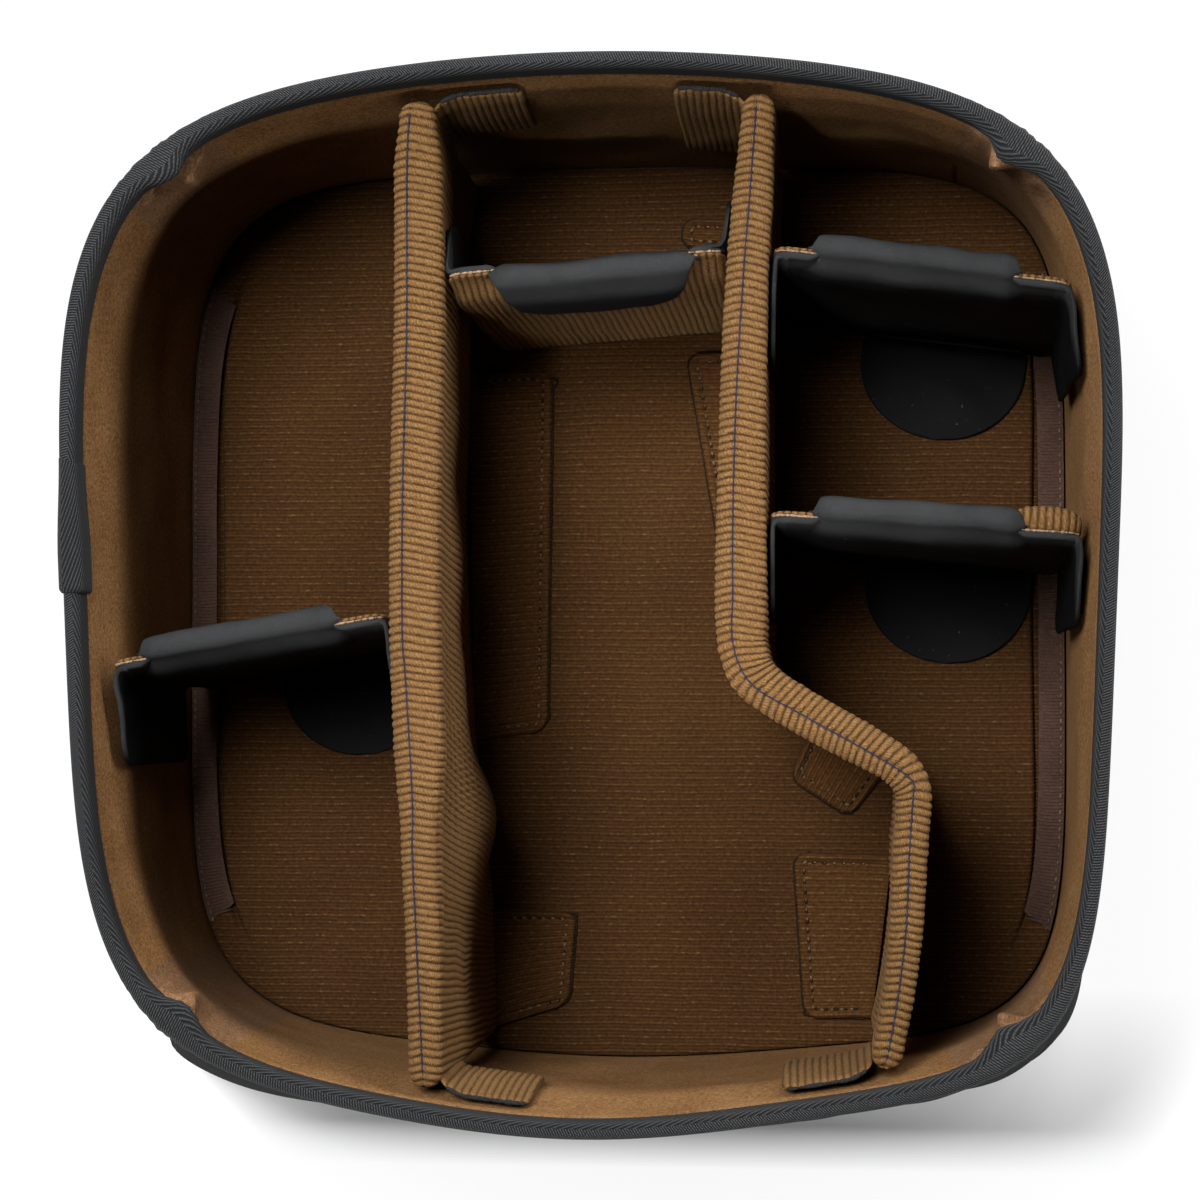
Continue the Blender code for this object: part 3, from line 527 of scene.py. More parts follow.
def closed(face, back, thin):
    """A ring of points over a face and back behind it. Behind, only one in every few is kept."""
    return np.concatenate([face, back[:, ::-thin]], 1)


# %% [markdown]
# ## The shell's outline
# The box is a rounded square with bowed ends, wider at the rim than at the floor. One rule in polar
# coordinates gives every layer of it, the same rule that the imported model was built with.

# %% Radius of each layer
rim_height = 0.140
wall_top = 0.1385
binding_bottom = 0.1305
foam_bottom = 0.0015
floor_top = 0.0097
middle_y = 0.0023
rim_inset = 0.0015
corner_turns = [0.7991, 2.3425, 3.9407, 5.4841]
corner_half = math.radians(5.5)
rim_shape = (0.1430, 0.1392, 0.0055, 0.0101, (3.8, 3.75, 4.3, 5.5))
rim_inner_shape = (0.1365, 0.1327, 0.0055, 0.0101, (3.8, 3.75, 4.3, 5.5))
base_shape = (0.1455, 0.14655, 0.0015, 0.0030, (9.0, 9.0, 30.0, 10.0))
floor_shape = (0.1405, 0.13875, 0.0015, 0.0060, (6.0, 5.5, 5.5, 6.0))


def outline_radius(shape, turn):
    half_width, half_length, back_bow, front_bow, powers = shape
    power = np.array(powers)[(np.mod(turn, math.tau) // (math.pi / 2)).astype(int) % 4]
    across = np.abs(np.cos(turn) / half_width) ** power
    along = np.abs(np.sin(turn) / half_length) ** power
    facing = np.maximum(0.0, -np.cos(2 * turn)) ** 2
    return (across + along) ** (-1 / power) + np.where(np.sin(turn) > 0, back_bow, front_bow) * facing


def step(thickness, turn):
    return thickness / np.maximum(np.abs(np.cos(turn)), np.abs(np.sin(turn)))


def outer_radius(turn, level):
    base = outline_radius(base_shape, turn) - 0.0028 * np.sin(turn)
    rim = outline_radius(rim_shape, turn)
    front = np.where(np.sin(turn) < 0, np.maximum(0.0, -np.cos(2 * turn)), 0.0)
    share = np.clip(level / binding_bottom, 0, 1)
    belly = 0.0080 * np.sqrt(front) * 4 * share * (1 - share)
    corner = 0.0036 * hump((np.mod(turn, math.tau) - 4.07) / 0.15) * eased((0.125 - level) / 0.05)
    return base + (rim - base) * level / rim_height + belly + corner


def inner_radius(turn, level):
    base = outline_radius(floor_shape, turn)
    rim = outline_radius(rim_inner_shape, turn)
    pressed = eased((level - binding_bottom + 0.003) / 0.003)
    thinned = 0.0031 * eased((level - 0.100) / 0.0305)
    return base + (rim - base) * level / rim_height + step(rim_inset * pressed + thinned, turn)


def corner_share(turn, width):
    """1 at the middle of a corner, and 0 away from the corners."""
    away = [(np.mod(turn - place + math.pi, math.tau) - math.pi) / width for place in corner_turns]
    return sum(hump(a) for a in away)


def shell(turn, radius, level):
    turn, radius, level = np.broadcast_arrays(turn, radius, level)
    y = radius * np.sin(turn)
    widening = 1 + 0.049 * (level / rim_height) * y / 0.1485
    return np.stack([radius * np.cos(turn) * widening, middle_y + y, level], -1)


turns = np.linspace(0, math.tau, 400)
print("rim:", np.ptp(shell(turns, outer_radius(turns, wall_top), wall_top), axis=0))

# %% [markdown]
# ## Outer cloth and underside
# The outer cloth is one black sheet round all four walls. It turns under at the foot, where the
# underside is sewn in. Slow ripples show that it is cloth over foam.

# %% Outer cloth
turns = np.linspace(0, math.tau, 560, endpoint=False)[:, None]
levels = np.concatenate([np.linspace(0.0012, 0.006, 7), np.linspace(0.010, binding_bottom, 26), [wall_top]])[None, :]
tuck_under = 0.0030 * (1 - rounded(levels, 0.0062))
radius = outer_radius(turns, levels) - tuck_under
free = eased(levels / 0.02) * eased((binding_bottom - levels) / 0.02)
radius = radius + free * 0.0006 * ripple(radius * turns, levels * 2.2, 0.075, 3)
inside = shell(turns, radius - step(0.0009, turns), levels)
outer_cloth = cloth("outer_cloth", closed(shell(turns, radius, levels), inside, 6), skin, "shell", rings=(True, True))
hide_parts("wall_skin")

# %% [markdown]
# The underside is one sheet of the same cloth, with a rounded edge. It is never seen in the photograph.

# %% Underside
shares = np.array([0.02, 0.25, 0.5, 0.7, 0.85, 0.95, 0.985])[:, None]
edge_radius = (outer_radius(turns[:, 0], 0.0) - 0.0030)[None, :]
top_side = shell(turns.T, edge_radius * shares, 0.0012)
low_side = shell(turns.T, edge_radius * shares, 0.0)
rim_side = shell(turns.T, edge_radius, 0.0006)
underside = cloth("underside_sheet", np.concatenate([top_side, rim_side, low_side[::-1]]), skin, "shell")
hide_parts("base_skin")

# %% [markdown]
# ## Floor
# The floor is foam board under loop cloth. It is soft, so it isn't quite flat, and a deep slot parts
# it from the ribbon along the left and right walls.

# %% Floor pad
turns = np.linspace(0, math.tau, 480, endpoint=False)[None, :]
floor_edge = np.minimum(inner_radius(turns, floor_top), inner_radius(turns, foam_bottom)) - step(0.0003, turns)
insets = [0.0, 0.0004, 0.0012, 0.003, 0.005, 0.007, 0.0078, 0.0083, 0.0088, 0.0093, 0.0098, 0.0103, 0.0109]
insets = np.concatenate([insets, [0.0116, 0.0125, 0.014], np.linspace(0.018, 0.128, 40)])[:, None]
inner = floor_edge - insets
place = shell(turns, inner, floor_top)
sides = eased((np.abs(np.cos(turns)) - 0.72) / 0.1)
slot_depth = 0.0040 * hump((insets - 0.0096) / 0.00085) * sides
soft = 0.00035 * ripple(place[..., 0], place[..., 1], 0.06, 5) * eased(insets / 0.02)
rounding = 0.0010 * np.clip(1 - insets / 0.0012, 0, 1) ** 2
place[..., 2] = floor_top - slot_depth + soft - rounding
foot = shell(turns, floor_edge * np.array([0.1, 0.6, 0.99])[:, None], foam_bottom)
floor_pad = cloth("floor_pad", np.concatenate([foot, place]), loops, "shell")
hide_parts("floor_lining", "base_foam")
print("floor:", np.ptp(place, axis=(0, 1)).round(4))

# %% [markdown]
# ## Walls
# Each wall is a foam board with the velour drawn over it. The pad and its lining are one piece here,
# because the foam is never seen. In the corners the lining is gathered into a soft tuck.

# %% Wall pads
wall_levels = [[foam_bottom], np.linspace(0.006, 0.128, 40), [0.1295, binding_bottom, 0.134, wall_top]]
wall_levels = np.concatenate(wall_levels)[None, :]


def pad_back(turns, level):
    """The hidden outer side of a wall's padding."""
    behind = outer_radius(turns, level) - step(0.0013, turns)
    return np.maximum(behind, inner_radius(turns, level) + step(0.0004, turns))


def side_turns(side, count):
    start = corner_turns[side] + corner_half
    end = corner_turns[(side + 1) % 4] - corner_half
    end += math.tau if end < start else 0
    return np.linspace(start, end, count)[:, None]


for side, name in enumerate(("back", "left", "front", "right")):
    turns = side_turns(side, 110)
    radius = inner_radius(turns, wall_levels)
    free = eased((wall_levels - 0.012) / 0.02) * eased((0.127 - wall_levels) / 0.02)
    free = free * eased((turns - turns[0]) / 0.15) * eased((turns[-1] - turns) / 0.15)
    radius = radius + 0.00045 * free * ripple(turns * 0.14, wall_levels, 0.05, 11 + side)
    outside = shell(turns, pad_back(turns, wall_levels), wall_levels)
    pad = cloth("wall_pad_" + name, closed(shell(turns, radius, wall_levels), outside, 6), velour, "shell")
    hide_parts("wall_lining_" + name, "wall_foam_" + name)

# %% [markdown]
# The lining's length has nowhere to go in a corner, so it stands out there as an upright fold. It is
# fullest below the binding and fades further down.

# %% Corner tucks


def tucked(turn, level, corner, seed):
    across = (turn - corner_turns[corner]) / corner_half
    fade = eased((level - binding_bottom + 0.028) / 0.028)
    under = 1 - eased((level - binding_bottom + 0.0032) / 0.0032)
    aside = 0.12 * (1 if corner in (0, 3) else -1)
    folds = 0.0016 * hump((across + 0.55) / 0.22) + 0.0013 * hump((across - 0.62) / 0.2)
    lobe = 0.0078 * hump((across - aside) / 0.24) + folds
    crease = 0.0008 * ripple(across * 0.02, level, 0.018, seed)
    ends = 1 - np.abs(across) ** 6
    return inner_radius(turn, level) - (lobe + crease) * fade * under * ends


for corner, name in enumerate(("back_right", "back_left", "front_left", "front_right")):
    middle = corner_turns[corner]
    turns = np.linspace(middle - corner_half, middle + corner_half, 60)[:, None]
    inside = shell(turns, tucked(turns, wall_levels, corner, 31 + corner), wall_levels)
    outside = shell(turns, pad_back(turns, wall_levels), wall_levels)
    tuck = cloth("corner_tuck_lining_" + name, closed(inside, outside, 6), tuck_cloth, "shell")
    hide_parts("corner_tuck_" + name)

# %% [markdown]
# ## Binding
# A woven tape is folded over the raw rim and sewn through. Its section is a leg outside, a round top
# and a leg inside. It is drawn round the rim as a ring, and puckers where the rim turns a corner.

# %% Rim binding


def binding_section(turns, swell, low=binding_bottom):
    """Points of the tape's section: over the rim and back under itself."""
    corner = corner_share(turns, 0.09)
    pucker = corner * 0.00035 * np.sin(turns * 230) * np.sin(turns * 97 + 1)
    gather = 0.0040 * corner_share(turns, 0.040) + 0.0006 * corner
    off = step(0.0015 + swell, turns) + pucker
    outer = outer_radius(turns, wall_top) + off
    inner = inner_radius(turns, wall_top) - off - gather
    middle, half = (outer + inner) / 2, (outer - inner) / 2
    shoulder = 0.1362
    rise = np.linspace(0, 1, 6)
    levels = low + (shoulder - low) * rise
    parts = [(outer_radius(turns, level) + off, level) for level in levels]
    for angle in np.linspace(0, math.pi, 17)[1:-1]:
        reach = np.sign(math.cos(angle)) * abs(math.cos(angle)) ** 0.72
        parts.append((middle + half * reach, shoulder + (0.0038 + swell) * math.sin(angle) ** 0.72))
    for share, level in zip(rise[::-1], levels[::-1]):
        parts.append((inner_radius(turns, level) - off - gather * (0.6 + 0.4 * share), level))
    # The tape's inner face, just clear of the wall
    parts.append((inner_radius(turns, low) - step(0.0002, turns), low))
    parts.append((inner_radius(turns, shoulder) - step(0.0001, turns), shoulder + 0.0012))
    parts.append((outer_radius(turns, shoulder) + step(0.0001, turns), shoulder + 0.0012))
    parts.append((outer_radius(turns, low) + step(0.0002, turns), low))
    return np.stack([shell(turns, r, np.full_like(turns, z))[:, 0] for r, z in parts], 1)


turns = np.linspace(0, math.tau, 720, endpoint=False)[:, None]
binding = cloth("binding_tape", binding_section(turns, 0.0), twill, "shell", rings=(True, True))
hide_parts("rim_binding")
print("binding faces:", len(binding.data.polygons))

# %% [markdown]
# Where the tape comes round to its start, its end is folded in and laid over the beginning. The lap
# is on the left, and its folded end faces the front.

# %% Lap of the binding
turns = np.linspace(math.pi + 0.016, math.pi - 0.24, 60)[:, None]
swell = 0.0010 * (1 - eased((math.pi - 0.05 - turns) / 0.19)) + 0.00015
swell[:2] *= np.array([[0.35], [0.8]])
lap = cloth("binding_lap", binding_section(turns, swell, binding_bottom - 0.0008), twill, "shell")

# %% [markdown]
# ## Rows of small things
# Stitches, ribbon ribs and frayed edges are one shape repeated along a line, which is what Geometry
# Nodes is for. This tree turns a line into a curve, sets points on it at even distances, and puts a
# small pill on each point, turned along the line. Its sizes are inputs, so one tree makes them all.

# %% A tree that sets pills along a line


def pill_row_tree():
    tree = bpy.data.node_groups.new("pill_row", "GeometryNodeTree")
    kinds = {"Geometry": "Geometry", "Seed": "Int", "Material": "Material"}
    for name in ("Geometry", "Spacing", "Length", "Width", "Height", "Unevenness", "Seed", "Material"):
        tree.interface.new_socket(name, in_out="INPUT", socket_type="NodeSocket" + kinds.get(name, "Float"))
    tree.interface.new_socket("Geometry", in_out="OUTPUT", socket_type="NodeSocketGeometry")
    given = tree.nodes.new("NodeGroupInput").outputs

    def add(kind, values, output=0, **settings):
        """A node with its settings, and with a value or a link for each named input."""
        node = tree.nodes.new(kind)
        for setting, value in settings.items():
            setattr(node, setting, value)
        for socket, value in values.items():
            if isinstance(value, bpy.types.NodeSocket):
                tree.links.new(value, node.inputs[socket])
            else:
                node.inputs[socket].default_value = value
        return node.outputs[output]

    curve = add("GeometryNodeMeshToCurve", {"Mesh": given["Geometry"]})
    even = add("GeometryNodeResampleCurve", {"Curve": curve, "Length": given["Spacing"]}, mode="LENGTH")
    ball = add("GeometryNodeMeshUVSphere", {"Segments": 8, "Rings": 6, "Radius": 0.5})
    size = add("ShaderNodeCombineXYZ", {0: given["Length"], 1: given["Width"], 2: given["Height"]})
    pill = add("GeometryNodeTransform", {"Geometry": ball, "Scale": size})
    turn = add("FunctionNodeAlignRotationToVector", {"Vector": add("GeometryNodeInputTangent", {})}, axis="X")
    low = add("ShaderNodeMath", {0: 1.0, 1: given["Unevenness"]}, operation="SUBTRACT")
    high = add("ShaderNodeMath", {0: 1.0, 1: given["Unevenness"]}, operation="ADD")
    chance = add("FunctionNodeRandomValue", {2: low, 3: high, "Seed": given["Seed"]}, 1, data_type="FLOAT")
    put = add("GeometryNodeInstanceOnPoints", {"Points": even, "Instance": pill, "Rotation": turn, "Scale": chance})
    smooth = add("GeometryNodeSetShadeSmooth", {0: add("GeometryNodeRealizeInstances", {0: put})})
    paint = add("GeometryNodeSetMaterial", {"Geometry": smooth, "Material": given["Material"]})
    tree.links.new(paint, tree.nodes.new("NodeGroupOutput").inputs[0])
    return tree


pill_row = pill_row_tree()
print("pill row nodes:", len(pill_row.nodes))


# %% [markdown]
# The tree goes on a mesh that is only the line. Its result is copied out as a plain mesh, so nothing
# depends on the modifier afterwards, and the line itself is removed.

# %% Pills along a line


def pills(name, lines, finish, body, spacing, length, width, height, uneven=0.1, seed=1):
    """A plain mesh of pills along one or more lines of points."""
    mesh = bpy.data.meshes.new(name)
    points, edges = [], []
    for line in lines:
        first = len(points)
        points += [tuple(p) for p in line]
        edges += [(first + n, first + n + 1) for n in range(len(line) - 1)]
    mesh.from_pydata(points, edges, [])
    guide = bpy.data.objects.new(name + "_guide", mesh)
    bpy.context.scene.collection.objects.link(guide)
    modifier = guide.modifiers.new("pills", "NODES")
    modifier.node_group = pill_row
    given = {
        "Spacing": spacing, "Length": length, "Width": width, "Height": height,
        "Unevenness": uneven, "Seed": seed, "Material": finish.material,
    }
    for item in pill_row.interface.items_tree:
        if item.in_out == "INPUT" and item.name in given:
            modifier[item.identifier] = given[item.name]
    ready = guide.evaluated_get(bpy.context.evaluated_depsgraph_get())
    made = bpy.data.meshes.new_from_object(ready)
    made.name = name
    bpy.data.objects.remove(guide, do_unlink=True)
    return piece_from(name, made, body, finish)


# %% [markdown]
# ## Ribbons along the floor
# A grosgrain ribbon covers the seam between the floor and each side wall. Its cross ribs are rows of
# pills that lie across it, on a flat band.

# %% Seam ribbons
for side, name in ((1, "left"), (3, "right")):
    turns = side_turns(side, 90)[3:-3]
    outside = inner_radius(turns, 0.0108) - step(0.0007, turns)
    inside = outside - step(0.0080, turns)
    lift = 0.0004 * ripple(turns * 0.14, turns * 0, 0.03, 50 + side)
    middle = inside + (outside - inside) * 0.5
    section = [(inside, 0.0101), (middle, 0.0101), (outside, 0.0101)]
    section += [(outside, 0.0107), (middle, 0.0109), (inside, 0.0107)]
    band = np.stack([shell(turns, r, np.full_like(turns, z) + lift)[:, 0] for r, z in section], 1)
    ribbon = cloth("seam_ribbon_" + name, band, grosgrain, "shell")
    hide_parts("seam_tape_" + name)
    line = shell(turns, (inside + outside) / 2, 0.0107 + lift)[:, 0]
    pills("seam_ribbon_ribs_" + name, [line], grosgrain, "shell", 0.00105, 0.00098, 0.0080, 0.0009, 0.03, 7)
    sewn = shell(turns, outside - step(0.0011, turns), 0.0111 + lift)[:, 0]
    pills("seam_ribbon_stitches_" + name, [sewn], tuft_thread, "shell", 0.0026, 0.0013, 0.0006, 0.0005, 0.3, 8)

# %% [markdown]
# ## Long dividers
# A long divider is a foam board in a ribbed cover, closed by a navy seam along its top. Its line on
# the floor was read from the photograph. Its section leans and swells along the way.

# %% Lines that the long dividers follow


def smooth_line(points, spacing):
    """An even line through the given points, with a Catmull-Rom curve between them."""
    p = np.array(points, float)
    p = np.concatenate([[2 * p[0] - p[1]], p, [2 * p[-1] - p[-2]]])
    t = np.linspace(0, 1, 40, endpoint=False)[:, None]
    fine = []
    for a, b, c, d in zip(p, p[1:], p[2:], p[3:]):
        fine.append((2 * b + (c - a) * t + (2 * a - 5 * b + 4 * c - d) * t**2 + (3 * b - a - 3 * c + d) * t**3) / 2)
    fine = np.concatenate(fine + [p[-2:-1]])
    far = lengths_of(fine)
    count = max(2, round(far[-1] / spacing) + 1)
    even = np.linspace(0, far[-1], count)
    return np.stack([np.interp(even, far, fine[:, axis]) for axis in range(fine.shape[1])], 1)


def eased_table(places, values, at):
    """Values that pass smoothly from each place of a table to the next."""
    places, values = np.array(places, float), np.array(values, float)
    n = np.clip(np.searchsorted(places, at) - 1, 0, len(places) - 2)
    share = eased((at - places[n]) / (places[n + 1] - places[n]))
    return values[n] + (values[n + 1] - values[n]) * share


# %% [markdown]
# The tables are in millimetres. A divider's seam wanders over its top, so it has a line of its own.

# %% What was read from the photograph
mm = 0.001
left_line = np.array([
    (-47.5, 136.9), (-47.4, 120.8), (-47.1, 73.5), (-48.0, 29.2), (-48.0, -9.7), (-46.8, -41.7),
    (-46.4, -69.4), (-45.2, -97.1), (-44.6, -124.9), (-44.4, -135.3),
]) * mm
right_line = np.array([
    (48.5, 137.0), (46.7, 112.4), (44.8, 86.9), (43.7, 53.6), (43.1, 18.0), (43.0, -8.4), (43.8, -16.6),
    (47.5, -24.3), (59.5, -32.6), (77.5, -42.6), (86.0, -47.9), (89.7, -53.5), (90.0, -59.7),
    (89.1, -70.7), (87.9, -92.0), (85.9, -109.2), (82.9, -124.9), (82.1, -128.7),
]) * mm
left_seam = np.array([
    (-49, 138.9), (-50, 119.9), (-50, 72.9), (-51, 28.9), (-51, -10), (-50, -24), (-48, -57), (-48, -71),
    (-47, -92), (-45, -131), (-44.8, -137),
]) * mm
right_seam = np.array([
    (48, 138.9), (45.9, 110.9), (43.9, 85.9), (41.9, 52.9), (40.9, 17.9), (40.9, 0), (40.9, -14.2),
    (45.9, -25.2), (58.9, -33.2), (76.9, -43.2), (86.9, -49.2), (89.9, -52.2), (89.9, -56.2),
    (88.9, -70.2), (87.9, -91.2), (85.9, -108.2), (83.9, -120.2), (81.9, -130.2),
]) * mm
# Place along the run from front to back, then the shares of half the thickness at the top, the left
# foot and the right foot
left_girths = [
    (-1.00, 0.66, 0.50, 0.70), (-0.75, 0.70, 0.60, 0.62), (-0.52, 0.74, 0.66, 0.40),
    (-0.29, 1.00, 0.90, 0.00), (0.31, 1.00, 1.00, -0.28), (0.90, 0.96, 0.96, -0.20), (1.00, 0.74, 0.74, 0.10),
]
right_girths = [
    (-1.00, 0.58, 0.45, 0.50), (-0.44, 0.68, 0.50, 0.60), (-0.26, 0.86, 0.55, 0.70),
    (0.00, 1.00, 0.45, 0.80), (0.42, 0.90, 0.40, 0.70), (0.78, 0.80, 0.40, 0.60), (1.00, 0.66, 0.40, 0.50),
]
divider_foot = 0.0100
divider_top = 0.1280
half_girth = 0.0070
print("long dividers:", [round(float(lengths_of(line)[-1]), 4) for line in (left_line, right_line)])

# %% [markdown]
# The cords of the cloth run across the top and down both faces. Each cord is a round ridge, and no
# two are quite alike. They are in the mesh, so they show at the edges and catch the light.

# %% Cords


def cords(along, seed, uneven=0.12):
    """The height of the cords, from 0 in a gap to 1 on a ridge, at a distance along the cloth."""
    chance = np.random.default_rng(seed).uniform(-1, 1, 400)
    n = np.floor(along / rib_pitch).astype(int)
    round_top = 1 - np.abs((along / rib_pitch - n) * 2 - 1) ** 2.4
    return round_top * (1 + uneven * chance[n % 400])


def run_frames(line):
    """The distance along a line, and its square direction on the +X side."""
    back = np.roll(line, 5, 0)
    ahead = np.roll(line, -5, 0)
    back[:5], ahead[-5:] = line[0], line[-1]
    way = ahead - back
    way /= np.linalg.norm(way, axis=1)[:, None]
    return lengths_of(line), np.stack([-way[:, 1], way[:, 0]], 1)


# %% [markdown]
# Each section of a long divider goes up its right face, over the top and down its left face. The
# cords stand out along the section's own direction, and a groove follows the seam. The left one
# is buckled: its right face bulges near the front, and the cords are drawn aside there.

# %% Long dividers


def long_divider(name, points, seam, girths, buckled, seed):
    line = smooth_line(points, rib_pitch / 6)
    far, normal = run_frames(line)
    table = np.array(girths)
    place = np.clip(line[:, 1] / 0.1327, -1, 1)
    half, left_foot, right_foot = (eased_table(table[:, 0], table[:, k], place) * half_girth for k in (1, 2, 3))
    seam_line = smooth_line(seam, 0.0005)
    nearest = np.argmin(np.linalg.norm(seam_line[None] - line[:, None], axis=2), axis=1)
    seam_offset = np.sum((seam_line[nearest] - line) * normal, axis=1).clip(-half * 0.6, half * 0.6)
    # Both ends are rounded, and the top dips a little there
    from_end = np.minimum(far, far[-1] - far)
    ends = rounded(from_end, 0.0045) * 0.72 + 0.28
    shoulder = divider_top - 0.0046
    up = np.linspace(0, 1, 26)
    across = np.sin(np.linspace(1, -1, 38)[1:-1] * math.pi / 2)
    offsets, heights, sides = [], [], []
    away = (line[:, 1] + 0.0679) / 0.020
    for share in up:
        level = divider_foot + (shoulder - divider_foot) * share
        bulge = 0.0092 * hump(away / 1.25) * hump((share - 0.56) / 0.25)
        bulge = bulge + 0.0032 * hump(line[:, 1] / 0.10) * hump((share - 0.74) / 0.17)
        pad = 0.0011 * math.sin(math.pi * share) * ripple(line[:, 1], line[:, 0] * 0 + level, 0.045, seed)
        offsets.append(right_foot + (half - right_foot) * share + buckled * bulge + pad)
        heights.append(np.full(len(line), level))
        sides.append(1 - share)
    for f in across:
        dome = (1 - abs(f) ** 2.8) ** (1 / 2.8)
        offsets.append(half * f)
        heights.append(shoulder + 0.0046 * dome + np.zeros(len(line)))
        sides.append(0.0)
    for share in up[::-1]:
        level = divider_foot + (shoulder - divider_foot) * share
        pad = 0.0009 * math.sin(math.pi * share) * ripple(line[:, 1], line[:, 0] * 0 + level, 0.05, seed + 1)
        offsets.append(-(left_foot + (half - left_foot) * share) - pad)
        heights.append(np.full(len(line), level))
        sides.append(share - 1)
    # Over the whole grid: o is the distance from the line and z the height
    o, z = np.stack(offsets, 1), np.stack(heights, 1)
    groove = 0.0007 * hump((o - seam_offset[:, None]) / 0.0008) * (z > shoulder + 0.001)
    # The section's own outward direction, for the cords to stand along
    do, dz = np.gradient(o, axis=1), np.gradient(z, axis=1)
    size = np.hypot(do, dz) + 1e-9
    out_o, out_z = dz / size, -do / size
    shear = -buckled * (0.026 * hump((line[:, 1] + 0.048) / 0.045)[:, None] + 0.007) * np.maximum(sides, 0)
    wander = 0.0004 * ripple(line[:, 1][:, None] + 0 * z, z, 0.03, seed + 2)
    chevron = -0.20 * np.abs(o - seam_offset[:, None])
    phase = far[:, None] + 1.0 + shear + wander + chevron
    height = 0.00048 * (cords(phase, seed, 0.25) - 0.5) - groove
    low = eased((z - divider_foot) / 0.003)
    o = (o + out_o * height * low) * ends[:, None]
    z = z + out_z * height * low
    z = z - (1 - ends[:, None]) * 0.0035 * eased((z - shoulder + 0.004) / 0.006)
    z = np.maximum(z, divider_foot + 0.0001)
    longer = 0.0014 * eased((z - 0.100) / 0.028) * (1 - eased(from_end / 0.02))[:, None]
    longer = longer * np.where(far < far[-1] / 2, -1.0, 1.0)[:, None]
    way = np.stack([normal[:, 1], -normal[:, 0]], 1)
    plan = line[:, None, :] + normal[:, None, :] * o[..., None] + way[:, None, :] * longer[..., None]
    points3 = np.concatenate([plan, z[..., None]], 2)
    ring = lengths_of(points3[len(line) // 2], True)
    uv_along = np.concatenate([phase, phase[:, :1]], 1)
    cover = cloth(name + "_ribbed_cover", points3, ribbed, name, along=uv_along, across=ring)
    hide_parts(name + "_cover", name + "_core")
    seam_height = divider_top - 0.00035 - (1 - ends) * 0.0035
    top = np.concatenate([line + normal * seam_offset[:, None], seam_height[:, None]], 1)
    pills(name + "_seam", [top[from_end > 0.0012][::4]], navy_thread, name, 0.0024, 0.0030, 0.00052, 0.00050, 0.06, 5)
    return cover


left_cover = long_divider("left_divider", left_line, left_seam, left_girths, 1.0, 61)
right_cover = long_divider("right_divider", right_line, right_seam, right_girths, 0.0, 71)
print("cover faces:", len(left_cover.data.polygons), len(right_cover.data.polygons))

# %% [markdown]
# ## Tabs of the long dividers
# Tabs grip the floor and the end walls. A floor tab is of the floor's loop cloth, made lighter as
# painted light, and lies flat, with its rows running away from the divider. Its edge is turned and
# sewn down: light tufts of thread sit in holes of painted shade, and a dark line of painted shadow
# runs along the edge.

# %% Frames and placing


def local_frame(at, turn):
    return np.array(Matrix.Translation(at) @ Matrix.Rotation(math.radians(turn), 4, "Z"))


def world_points(local, matrix):
    return local @ matrix[:3, :3].T + matrix[:3, 3]


def bend_at(piece, matrix, start, end):
    start, end = (tuple(world_points(np.array(point, float), matrix)) for point in (start, end))
    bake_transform(piece)


# %% [markdown]
# A floor tab is worked out flat, in a frame of its own at its fold, and then put in its place. The
# same outline, a little further in, is the line of its stitches.

# %% Floor tabs


